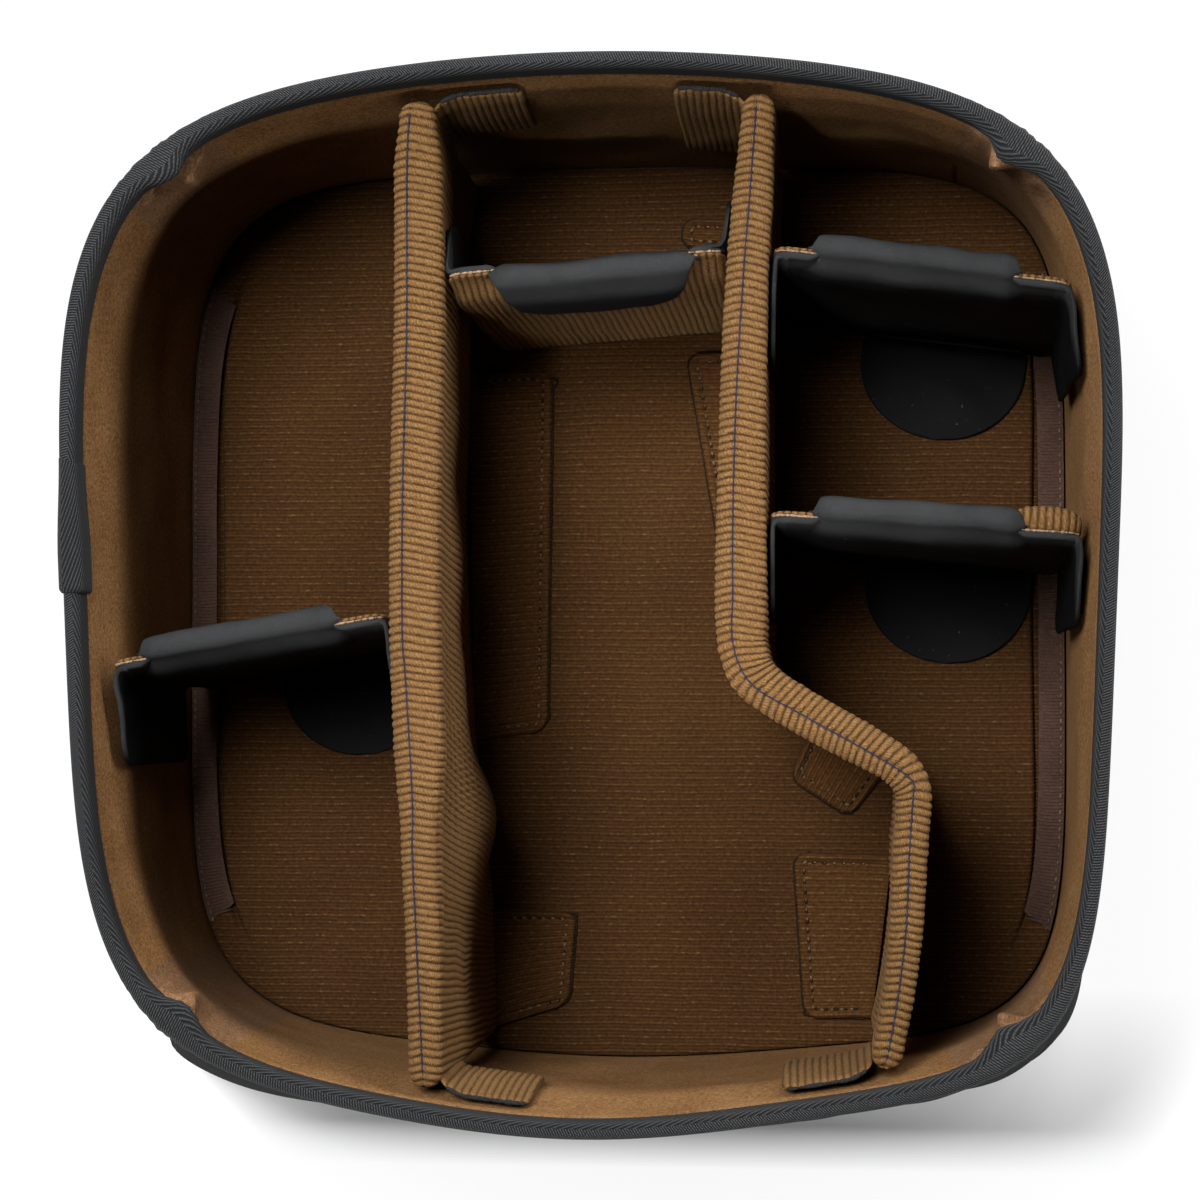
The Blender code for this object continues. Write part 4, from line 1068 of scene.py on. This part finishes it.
def floor_tab(divider, place, at, turn, run, near, far, near_slant, far_slant, seed):
    """Local X runs along the fold and Y away from it. The slants draw the two ends in."""
    node, flap = f"{divider}_floor_tab_{place}", f"{divider}_{place}_floor_flap"
    matrix = local_frame(at, turn)
    radius = min(0.005, run * 0.42)

    def tab_reach(u):
        """How far the tab reaches from its fold, with two round corners."""
        return near + (far - near) * u / run - corner_cut(u, radius) - corner_cut(run - u, radius)

    def slanted(u, y):
        return u + near_slant * (1 - u / run) * y / near - far_slant * (u / run) * y / far

    def line_over(path, height, thin):
        """A smooth line over the tab, through one in every few points of a path."""
        u, y = np.array(path).T
        line = np.stack([slanted(u, y), y, np.full(len(u), height)], 1)
        return world_points(smooth_line(line[::thin], 0.0006), matrix)

    u = np.linspace(0, run, max(8, round(run / (rib_pitch / 6))))[:, None]
    reach = tab_reach(u)
    v = np.concatenate([np.linspace(0, 0.15, 5), np.linspace(0.2, 0.94, 18), [0.97, 0.99, 1.0]])[None, :]
    y = -0.0009 + (reach + 0.0009) * v
    x = slanted(u, y)
    side = np.minimum(np.minimum(u, run - u), reach - y)
    thick = 0.0013 * rounded(side, 0.0011) + 0.0002
    hem = 0.0006 * hump((side - 0.0014) / 0.0013) - 0.0006 * hump((side - 0.0030) / 0.0008) * (y > 0.003)
    row = 0.00006 * np.sin(math.tau * (u + 0.4) / row_pitch) * eased(side / 0.0015)
    curl = 0.0032 * np.exp(-(y + 0.0009) / 0.0011)
    soft = 0.0003 * ripple(x, y, 0.03, 90 + seed)
    top = np.stack([x, y, thick + hem + row + curl + soft], -1)
    low = np.stack([x, y, curl * 0.8 + np.minimum(soft, 0)], -1)
    points = world_points(closed(top, low, 3), matrix)
    along = np.repeat(u + 0.4, points.shape[1] + 1, 1)
    tab = cloth(node + "_cloth", points, lit_tab_loops, None, along=along)
    bend_at(tab, matrix, (run / 2, 0.0002, 0), (run / 2, 0.0042, 0))
    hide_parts(node)
    inset, root = 0.0030, 0.0045
    u = np.linspace(inset, run - inset, 80)
    hem_line = tab_reach(u) - inset
    path = [(inset, y) for y in np.linspace(root, hem_line[0], 8)[:-1]] + [*zip(u, hem_line)]
    path += [(run - inset, y) for y in np.linspace(hem_line[-1], root, 8)[1:]]
    sewn = line_over(path, 0.00135, 2)
    # Painted shade: dark pills sit in the stitch holes, under the light tufts
    pills(node + "_stitch_hole_shade", [sewn], painted_shade_pills, flap, 0.0030, 0.0016, 0.0011, 0.0005, 0.25, 3 + seed)
    pills(node + "_stitches", [sewn[2:]], tuft_thread, flap, 0.0030, 0.0013, 0.0008, 0.0008, 0.3, 13 + seed)
    # Painted shadow: a dark line of pills along the tab's outer edge
    u = np.linspace(0, run, 90)
    path = [(-0.0002, 0.002), *zip(u, tab_reach(u) + 0.0002), (run + 0.0002, 0.002)]
    edge = line_over(path, 0.0003, 3)
    pills(node + "_painted_edge_shadow", [edge], painted_shade_pills, flap, 0.0008, 0.0013, 0.0007, 0.0006, 0.3, 23 + seed)


# Divider, place, the fold's start, its turn and length, the tab's widths and the slants of its ends
floor_tabs = [
    ("left_divider", "long", (-0.04791, 0.0763, 0.01), -88.904, 0.118, 0.0258, 0.0221, 0.0, 0.0021),
    ("left_divider", "front", (-0.04003, -0.09515, 0.01), -87.738, 0.0375, 0.0258, 0.0221, 0.0021, 0.0060),
    ("right_divider", "back", (0.043, 0.1128, 0.01), 85.695, 0.0113, 0.0239, 0.0239, 0.0010, 0.0010),
    ("right_divider", "middle", (0.03903, 0.01805, 0.01), 88.492, 0.0639, 0.0081, 0.0200, 0.0010, 0.0010),
    ("right_divider", "bend", (0.08328, -0.05202, 0.01), 149.463, 0.0272, 0.0179, 0.0169, 0.0021, 0.0021),
    ("right_divider", "front", (0.07793, -0.12898, 0.01), 82.796, 0.0516, 0.0200, 0.0299, -0.0031, 0.0031),
]
for seed, given in enumerate(floor_tabs, 1):
    floor_tab(*given, seed)

# %% [markdown]
# The end tabs are of the cover's cloth, made darker as painted shade, and stand on edge against the front
# and back walls, with their cords upright. Their upper edge is bound in black.

# %% End tabs


def end_tab(divider, wall, at, turn, wide, tall, inward, seed):
    """Local X runs away from the fold and Z up. Inward is the side of Y that faces the compartment."""
    node, flap = f"{divider}_tab_{wall}", f"{divider}_{wall}_flap"
    matrix = local_frame(at, turn)
    radius = 0.005

    def bent(x, z):
        """How far the tab stands in: it curls at its root and leans outwards towards the rim."""
        curl = 0.0022 * np.exp(-(x + 0.0016) / 0.0013)
        leaning = 0.0027 * eased((z + at[2] - 0.100) / 0.0305) * (0.35 + 0.65 * eased((x + 0.0016) / 0.008))
        return inward * (curl - leaning)

    x = np.linspace(-0.0016, wide, max(10, round(wide / (rib_pitch / 6))))[:, None]
    low = corner_cut(wide - x, radius)
    high = tall - low
    v = np.concatenate([[0, 0.01, 0.03], np.linspace(0.06, 0.94, 18), [0.97, 0.99, 1.0]])[None, :]
    z = low + (high - low) * v
    side = np.minimum(np.minimum(z - low, high - z), wide - x)
    thick = 0.0008 * rounded(side, 0.0012) + 0.0001
    cord = 0.00035 * (cords(x + 0.2, seed) - 0.5) * eased(side / 0.002)
    soft = 0.0002 * ripple(x, z, 0.03, seed)
    face = np.stack(np.broadcast_arrays(x, inward * (thick + cord + soft) + bent(x, z), z), -1)
    back = np.stack(np.broadcast_arrays(x, -inward * thick * 0.9 + bent(x, z), z), -1)
    points = world_points(closed(face, back, 3), matrix)
    along = np.repeat(x + 0.2, points.shape[1] + 1, 1)
    tab = cloth(node + "_cloth", points, shaded_tab_ribbed, None, along=along)
    bend_at(tab, matrix, (-0.0004, 0, tall / 2), (0.0036, 0, tall / 2))
    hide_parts(node)
    x = np.linspace(0.001, wide - radius * 0.4, 30)
    rim = world_points(np.stack([x, bent(x, tall), tall - corner_cut(wide - x, radius) + 0.0002], 1), matrix)
    pills(node + "_black_edge", [rim], edge_thread, flap, 0.0009, 0.0015, 0.0013, 0.0008, 0.2, seed)


# Divider, wall, the fold's lower end, turn, width, height and the side that faces in
end_tabs = [
    ("left_divider", "back", (-0.04138, 0.13724, 0.088), 4.002, 0.024, 0.037, -1),
    ("left_divider", "front", (-0.03891, -0.13594, 0.088), -6.486, 0.024, 0.037, 1),
    ("right_divider", "back", (0.04301, 0.13707, 0.055), 175.501, 0.019, 0.070, 1),
    ("right_divider", "front", (0.07715, -0.12982, 0.088), -170.335, 0.024, 0.037, -1),
]
for seed, given in enumerate(end_tabs, 101):
    end_tab(*given, seed)
print("tabs:", len(floor_tabs), "on the floor and", len(end_tabs), "on the walls")

# %% [markdown]
# ## Short dividers
# A short divider is a thin foam panel, ribbed cloth behind and black coated sheet in front. The sheet
# is rolled over the top as a soft grip, and runs on at both ends into flanges and at the foot into
# a round tongue.

# %% Panels
panel_foot = 0.0111
panel_height = 0.1130


def short_top(x, width):
    """The height of the panel's top edge, with its round corners."""
    return panel_height - corner_cut(np.minimum(x, width - x), 0.006)


def lean(z, tilt):
    """How far the divider leans away from its facing. Where tilt is below 0, it leans towards it."""
    bent = 0.0012 * np.clip(z / panel_height, 0, 1.1) ** 2 + 0.0031 * eased((z - panel_height + 0.016) / 0.016)
    return -tilt * bent


def gripped(x, width):
    """1 inside the grip, and 0 along the top edge beside it."""
    return 1 - eased((np.abs(x - width / 2 - 0.002) - 0.0255) / 0.004)


def panel(name, matrix, width, seed, tilt, thick):
    """The panel is pressed thin beside the grip, but not at its left end where thick is 1."""
    x = np.linspace(0, width, round(width / (rib_pitch / 6)))[:, None]
    top = short_top(x, width)
    straight = top - 0.0025
    section = [(-0.005, straight * share) for share in np.linspace(0, 1, 26)]
    for angle in np.linspace(0, math.pi, 12)[1:-1]:
        section.append((-0.0025 - 0.0025 * math.cos(angle), straight + 0.0025 * math.sin(angle)))
    section += [(0.0, straight * share) for share in (1, 0.66, 0.33, 0)]
    y = np.concatenate([across + 0 * x for across, up in section], 1)
    z = np.concatenate([up for across, up in section], 1)
    back = eased((-0.001 - y) / 0.002)
    ends = rounded(np.minimum(x, width - x), 0.0028)
    height = 0.00042 * (cords(x + 0.3, seed) - 0.5)
    soft = 0.0007 * ripple(x + 0 * z, z, 0.045, seed) * eased(z / 0.02) * eased((panel_height - z) / 0.012)
    y = -0.0025 + (y + 0.0025) * (0.25 + 0.75 * ends) - (height + soft) * back
    inside = gripped(x, width)
    beside = (1 - inside) * (1 - thick * (x < width / 2))
    high = eased((z - top + 0.015) / 0.012)
    y = y * (1 - 0.70 * beside * high)
    y = y + (-0.0026 - y) * 0.42 * inside * high + lean(z, tilt)
    y = y - thick * 0.0022 * back * hump((x - 0.010) / 0.012) * eased((z - 0.06) / 0.05)
    z = z + height * eased((z - top + 0.003) / 0.003)
    points = world_points(np.stack([x + 0 * y, y, np.maximum(z, 0.0)], -1), matrix)
    along = np.repeat(x + 0.3, points.shape[1] + 1, 1)
    made = cloth(name + "_ribbed_panel", points, ribbed, name, along=along)
    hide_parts(name + "_panel")


# %% [markdown]
# The facing is one sheet in front of the panel. Beside the grip the panel's cloth is cut off, and
# its pale fibres show as a raw edge.

# %% Facings


def facing(name, matrix, width, seed, tilt):
    margin = np.array([0, 0.0003, 0.001])
    x = np.concatenate([margin, np.linspace(0.002, width - 0.002, 70), width - margin[::-1]])[:, None]
    top = short_top(x, width) - 0.0002
    z = top * np.concatenate([np.linspace(0, 0.95, 26), np.linspace(0.96, 1, 6)])[None, :]
    side = np.minimum(np.minimum(x, width - x), top - z)
    soft = 0.00035 * ripple(x + 0 * z, z, 0.04, seed) * eased(side / 0.02)
    lip = 0.0006 * hump((top - z - 0.001) / 0.002) - 0.0004 * (1 - eased(side / 0.0008))
    back = lean(z, tilt)
    y = 0.0013 + back + soft + lip - 0.0017 * gripped(x, width) * eased((z - top + 0.013) / 0.009)
    front = np.stack(np.broadcast_arrays(x, y, z), -1)
    behind = np.stack(np.broadcast_arrays(x, np.minimum(0.0002 + back, y - 0.0005), z), -1)
    made = cloth(name + "_facing_sheet", world_points(closed(front, behind, 4), matrix), black_sheet, name)
    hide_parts(name + "_facing")
    # The cloth's raw edge shows on both sides of the grip
    middle = width / 2 + 0.002
    edges = []
    for low, high in ((0.0012, middle - 0.0275), (middle + 0.0275, width - 0.0012)):
        x = np.linspace(low, high, 40)
        z = short_top(x, width)
        edges.append(world_points(np.stack([x, lean(z, tilt) - 0.0001, z + 0.0001], 1), matrix))
    pills(name + "_raw_edge", edges, raw_edge, name, 0.0005, 0.0008, 0.00055, 0.00060, 0.6, seed)


# %% [markdown]
# The grip is the sheet rolled over the panel's top. In front it runs smoothly into the facing, and
# behind it ends in a narrower lip with round corners. Its line over the top is a smooth curve, and
# its width changes along that line.

# %% Grips


# The section of the sheet over the top, in tenths of a millimetre from the panel's upper front edge
grip_section = [
    (15, -190), (22, -140), (23, -92), (15, -50), (4, -14), (-2, 4), (-7, 12), (-13, 16), (-29, 17),
    (-43, 14), (-51, 6), (-55, -10), (-60, -50), (-64, -110), (-62, -170),
]
grip_shares = [0, 0.22, 0.38, 0.44, 0.56, 0.64, 0.78, 0.90, 1]
grip_halves = [0.0318, 0.0315, 0.0305, 0.0300, 0.0278, 0.0268, 0.0252, 0.0225, 0.0180]


def grip(name, matrix, width, seed, tilt, flare):
    """Flare is how far the lip behind stands off the panel."""
    line = smooth_line([(y * 0.0001, panel_height + z * 0.0001) for y, z in grip_section], 0.0006)
    far = lengths_of(line)
    share = far / far[-1]
    below = np.clip((panel_height + 0.0005 - line[:, 1]) / 0.017, 0, 1) * (share > 0.55)
    line[:, 0] += lean(line[:, 1], tilt) - flare * below
    way = np.gradient(line, axis=0)
    way /= np.linalg.norm(way, axis=1)[:, None]
    out = np.stack([way[:, 1], -way[:, 0]], 1)
    left = far[-1] - far
    half = np.interp(share, grip_shares, grip_halves) - 0.006 * (1 - rounded(left, 0.005))
    across = np.sin(np.linspace(-1, 1, 61) * math.pi / 2)[None, :]
    middle = width / 2 + 0.002
    thick = 0.00065 * np.sqrt(1 - np.clip(np.abs(across), 0, 1) ** 24)
    thick = thick * ((0.25 + 0.75 * eased(far / 0.004)) * eased((left + 0.0006) / 0.0012))[:, None]
    puff = 0.00030 * ripple(across * 0.03 + 0 * share[:, None], far[:, None], 0.022, seed)
    puff = puff * eased(far / 0.006)[:, None]
    # Towards both ends the front merges with the facing, and the top slopes down to it
    at_end = eased((np.abs(across) - 0.80) / 0.20)
    front = eased((0.46 - share) / 0.10)[:, None]
    merge = at_end * front * 0.0014
    droop = 0.0016 * at_end**2 * hump((share - 0.42) / 0.14)[:, None]

    def layer(offset):
        off = offset + puff - droop
        y, z = line[:, :1] + out[:, :1] * off - merge, line[:, 1:] + out[:, 1:] * off
        return np.stack([middle + half[:, None] * across, y, z], -1)

    made = cloth(name + "_grip_roll", world_points(closed(layer(thick), layer(-thick), 2), matrix), black_sheet, name)
    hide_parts(name + "_grip")


# %% [markdown]
# A flange leaves the facing at the panel's end, turns the corner and lies on the neighbour. It is a
# strip along a bent line in plan, cut round at its free upper and lower corners.

# %% Flanges


def flange(node, name, flap, matrix, width, end, at, turn, reach, seed, tilt):
    """Its line: along the facing's last stretch, round the corner, then out along the neighbour."""
    own = local_frame(at, turn)
    start = [(width - inset if end else inset, y, 0.0) for inset, y in ((0.0045, 0.0012), (0.0012, 0.0013))]
    along = [(distance, 0.0, 0.0) for distance in (0.0016, 0.005, reach * 0.5, reach * 0.8, reach)]
    points = [world_points(np.array(start), matrix), world_points(np.array(along), own)]
    line = smooth_line(np.concatenate(points)[:, :2], 0.0008)
    far, normal = run_frames(line)
    left = far[-1] - far
    tall, foot = 0.074, 0.0441
    cut = corner_cut(left, 0.008)
    rise = 0.0056 * eased(1 - far / 0.018)
    low, high = (foot + cut)[:, None], (foot + tall - cut + rise)[:, None]
    v = np.concatenate([[0, 0.006, 0.02], np.linspace(0.05, 0.95, 20), [0.98, 0.994, 1]])[None, :]
    z = low + (high - low) * v
    side = np.minimum(np.minimum(z - low, high - z), left[:, None])
    thick = (0.00065 + 0.0004 * hump((high - z - 0.001) / 0.0014)) * rounded(side, 0.0008) + 0.00005
    soft = 0.0004 * ripple(far[:, None] + 0 * z, z, 0.035, seed) * eased((far[:, None] - 0.004) / 0.006)
    # Its ripples only stand out from the neighbour, on the compartment's side
    inward = np.sign(np.dot(world_points(np.array([width / 2, 0.01, 0]), matrix)[:2] - line[-1], normal[-1]))
    soft = np.maximum(soft, -0.0001) * inward

    def layer(offset):
        flat = line[:, None, :] + normal[:, None, :] * (offset + soft)[..., None]
        follow = lean(z - panel_foot, tilt) * (1 - eased((far - 0.002) / 0.010))[:, None]
        flat = flat + matrix[:2, 1] * follow[..., None]
        return np.concatenate([flat, z[..., None]], 2)

    made = cloth(node + "_sheet", closed(layer(thick), layer(-thick), 3), black_sheet, None)
    bend_at(made, own, (-0.0008, 0, 0.04), (0.0050, 0, 0.04))
    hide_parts(node)


# %% [markdown]
# A tongue leaves the facing at the panel's foot, turns out over the floor and ends in a half circle.

# %% Tongues


def tongue(node, name, flap, at, turn, seed):
    """Its line: down the panel's foot, then out over the floor."""
    own = local_frame(at, turn)
    bend = [(-0.0008, 0.0080), (-0.0007, 0.0040), (0.0002, 0.0012), (0.0022, 0.0001)]
    line = smooth_line(bend + [(y, 0.0) for y in (0.006, 0.014, 0.022, 0.029)], 0.0007)
    far = lengths_of(line)
    distance = far - (far[-1] - 0.029)
    half = 0.026 * np.sqrt(1 - np.clip((distance - 0.0056) / 0.0234, 0, 0.9995) ** 2)
    half = half - 0.003 * eased((0.002 - distance) / 0.01)
    across = np.sin(np.linspace(-1, 1, 45) * math.pi / 2)[None, :]
    x = half[:, None] * across
    side = np.minimum(half[:, None] * (1 - np.abs(across)), (far[-1] - far)[:, None] + 0.0004)
    thick = 0.0005 * rounded(side, 0.0007)
    soft = 0.0007 * ripple(x, far[:, None] + 0 * x, 0.03, seed) * eased((distance[:, None] - 0.004) / 0.01)
    soft = np.maximum(soft, -0.0001)
    way = np.gradient(line, axis=0)
    way /= np.linalg.norm(way, axis=1)[:, None]

    def layer(offset):
        lift = offset + soft
        return np.stack([x, line[:, :1] - way[:, 1:] * lift, line[:, 1:] + way[:, :1] * lift], -1)

    made = cloth(node + "_sheet", world_points(closed(layer(thick), layer(-thick), 3), own), black_sheet, None)
    bend_at(made, own, (0, 0.0, 0), (0, 0.0045, 0))
    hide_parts(node)


# %% [markdown]
# The four short dividers share these functions. Each has its place, width, flanges and tongue in the
# table. The centre one has no tongue and leans towards its facing, and the lip of its grip stands off.

# %% Four short dividers
short_dividers = {
    "centre_divider": dict(
        at=(-0.03947, 0.08811, panel_foot), turn=4.270, width=0.0784, flare=0.0036, tilt=-0.35,
        flanges={
            "left": (0, (-0.0391, 0.09031, 0), 90.689, 0.0154),
            "right": (1, (0.03851, 0.09615, 0), 84.59, 0.0155),
        },
    ),
    "left_bay_divider": dict(
        at=(-0.05582, -0.01035, panel_foot), turn=-170.051, width=0.0795,
        flanges={
            "left": (1, (-0.13398, -0.02635, 0), -85.968, 0.0221),
            "right": (0, (-0.05618, -0.01255, 0), -87.683, 0.0231),
        },
        tongue=((-0.08444, -0.0176, 0.0105), -170.051),
    ),
    "back_bay_divider": dict(
        at=(0.1338, 0.08015, panel_foot), turn=172.459, width=0.0831,
        flanges={
            "left": (1, (0.0519, 0.08883, 0), -91.224, 0.0253),
            "right": (0, (0.13375, 0.07795, 0), -82.104, 0.0182),
        },
        tongue=((0.10282, 0.08203, 0.0105), 172.459),
    ),
    "middle_bay_divider": dict(
        at=(0.13614, 0.01141, panel_foot), turn=176.088, width=0.0857,
        flanges={
            "left": (1, (0.05116, 0.01505, 0), -90.323, 0.0220),
            "right": (0, (0.13564, 0.00921, 0), -92.528, 0.0189),
        },
        tongue=((0.10377, 0.01142, 0.0105), 176.088),
        thick=1.0,
    ),
}
for seed, (name, given) in enumerate(short_dividers.items(), 200):
    matrix = local_frame(given["at"], given["turn"])
    width, tilt = given["width"], given.get("tilt", 1.0)
    panel(name, matrix, width, seed, tilt, given.get("thick", 0.0))
    facing(name, matrix, width, seed + 10, tilt)
    grip(name, matrix, width, seed + 20, tilt, given.get("flare", 0.0005))
    for side, placing in given["flanges"].items():
        flange(f"{name}_flange_{side}", name, f"{name}_{side}_flap", matrix, width, *placing, seed + 30, tilt)
    if "tongue" in given:
        tongue(name + "_tongue", name, name + "_floor_flap", *given["tongue"], seed + 40)
    print(name, "is", round(width * 1000, 1), "mm wide")
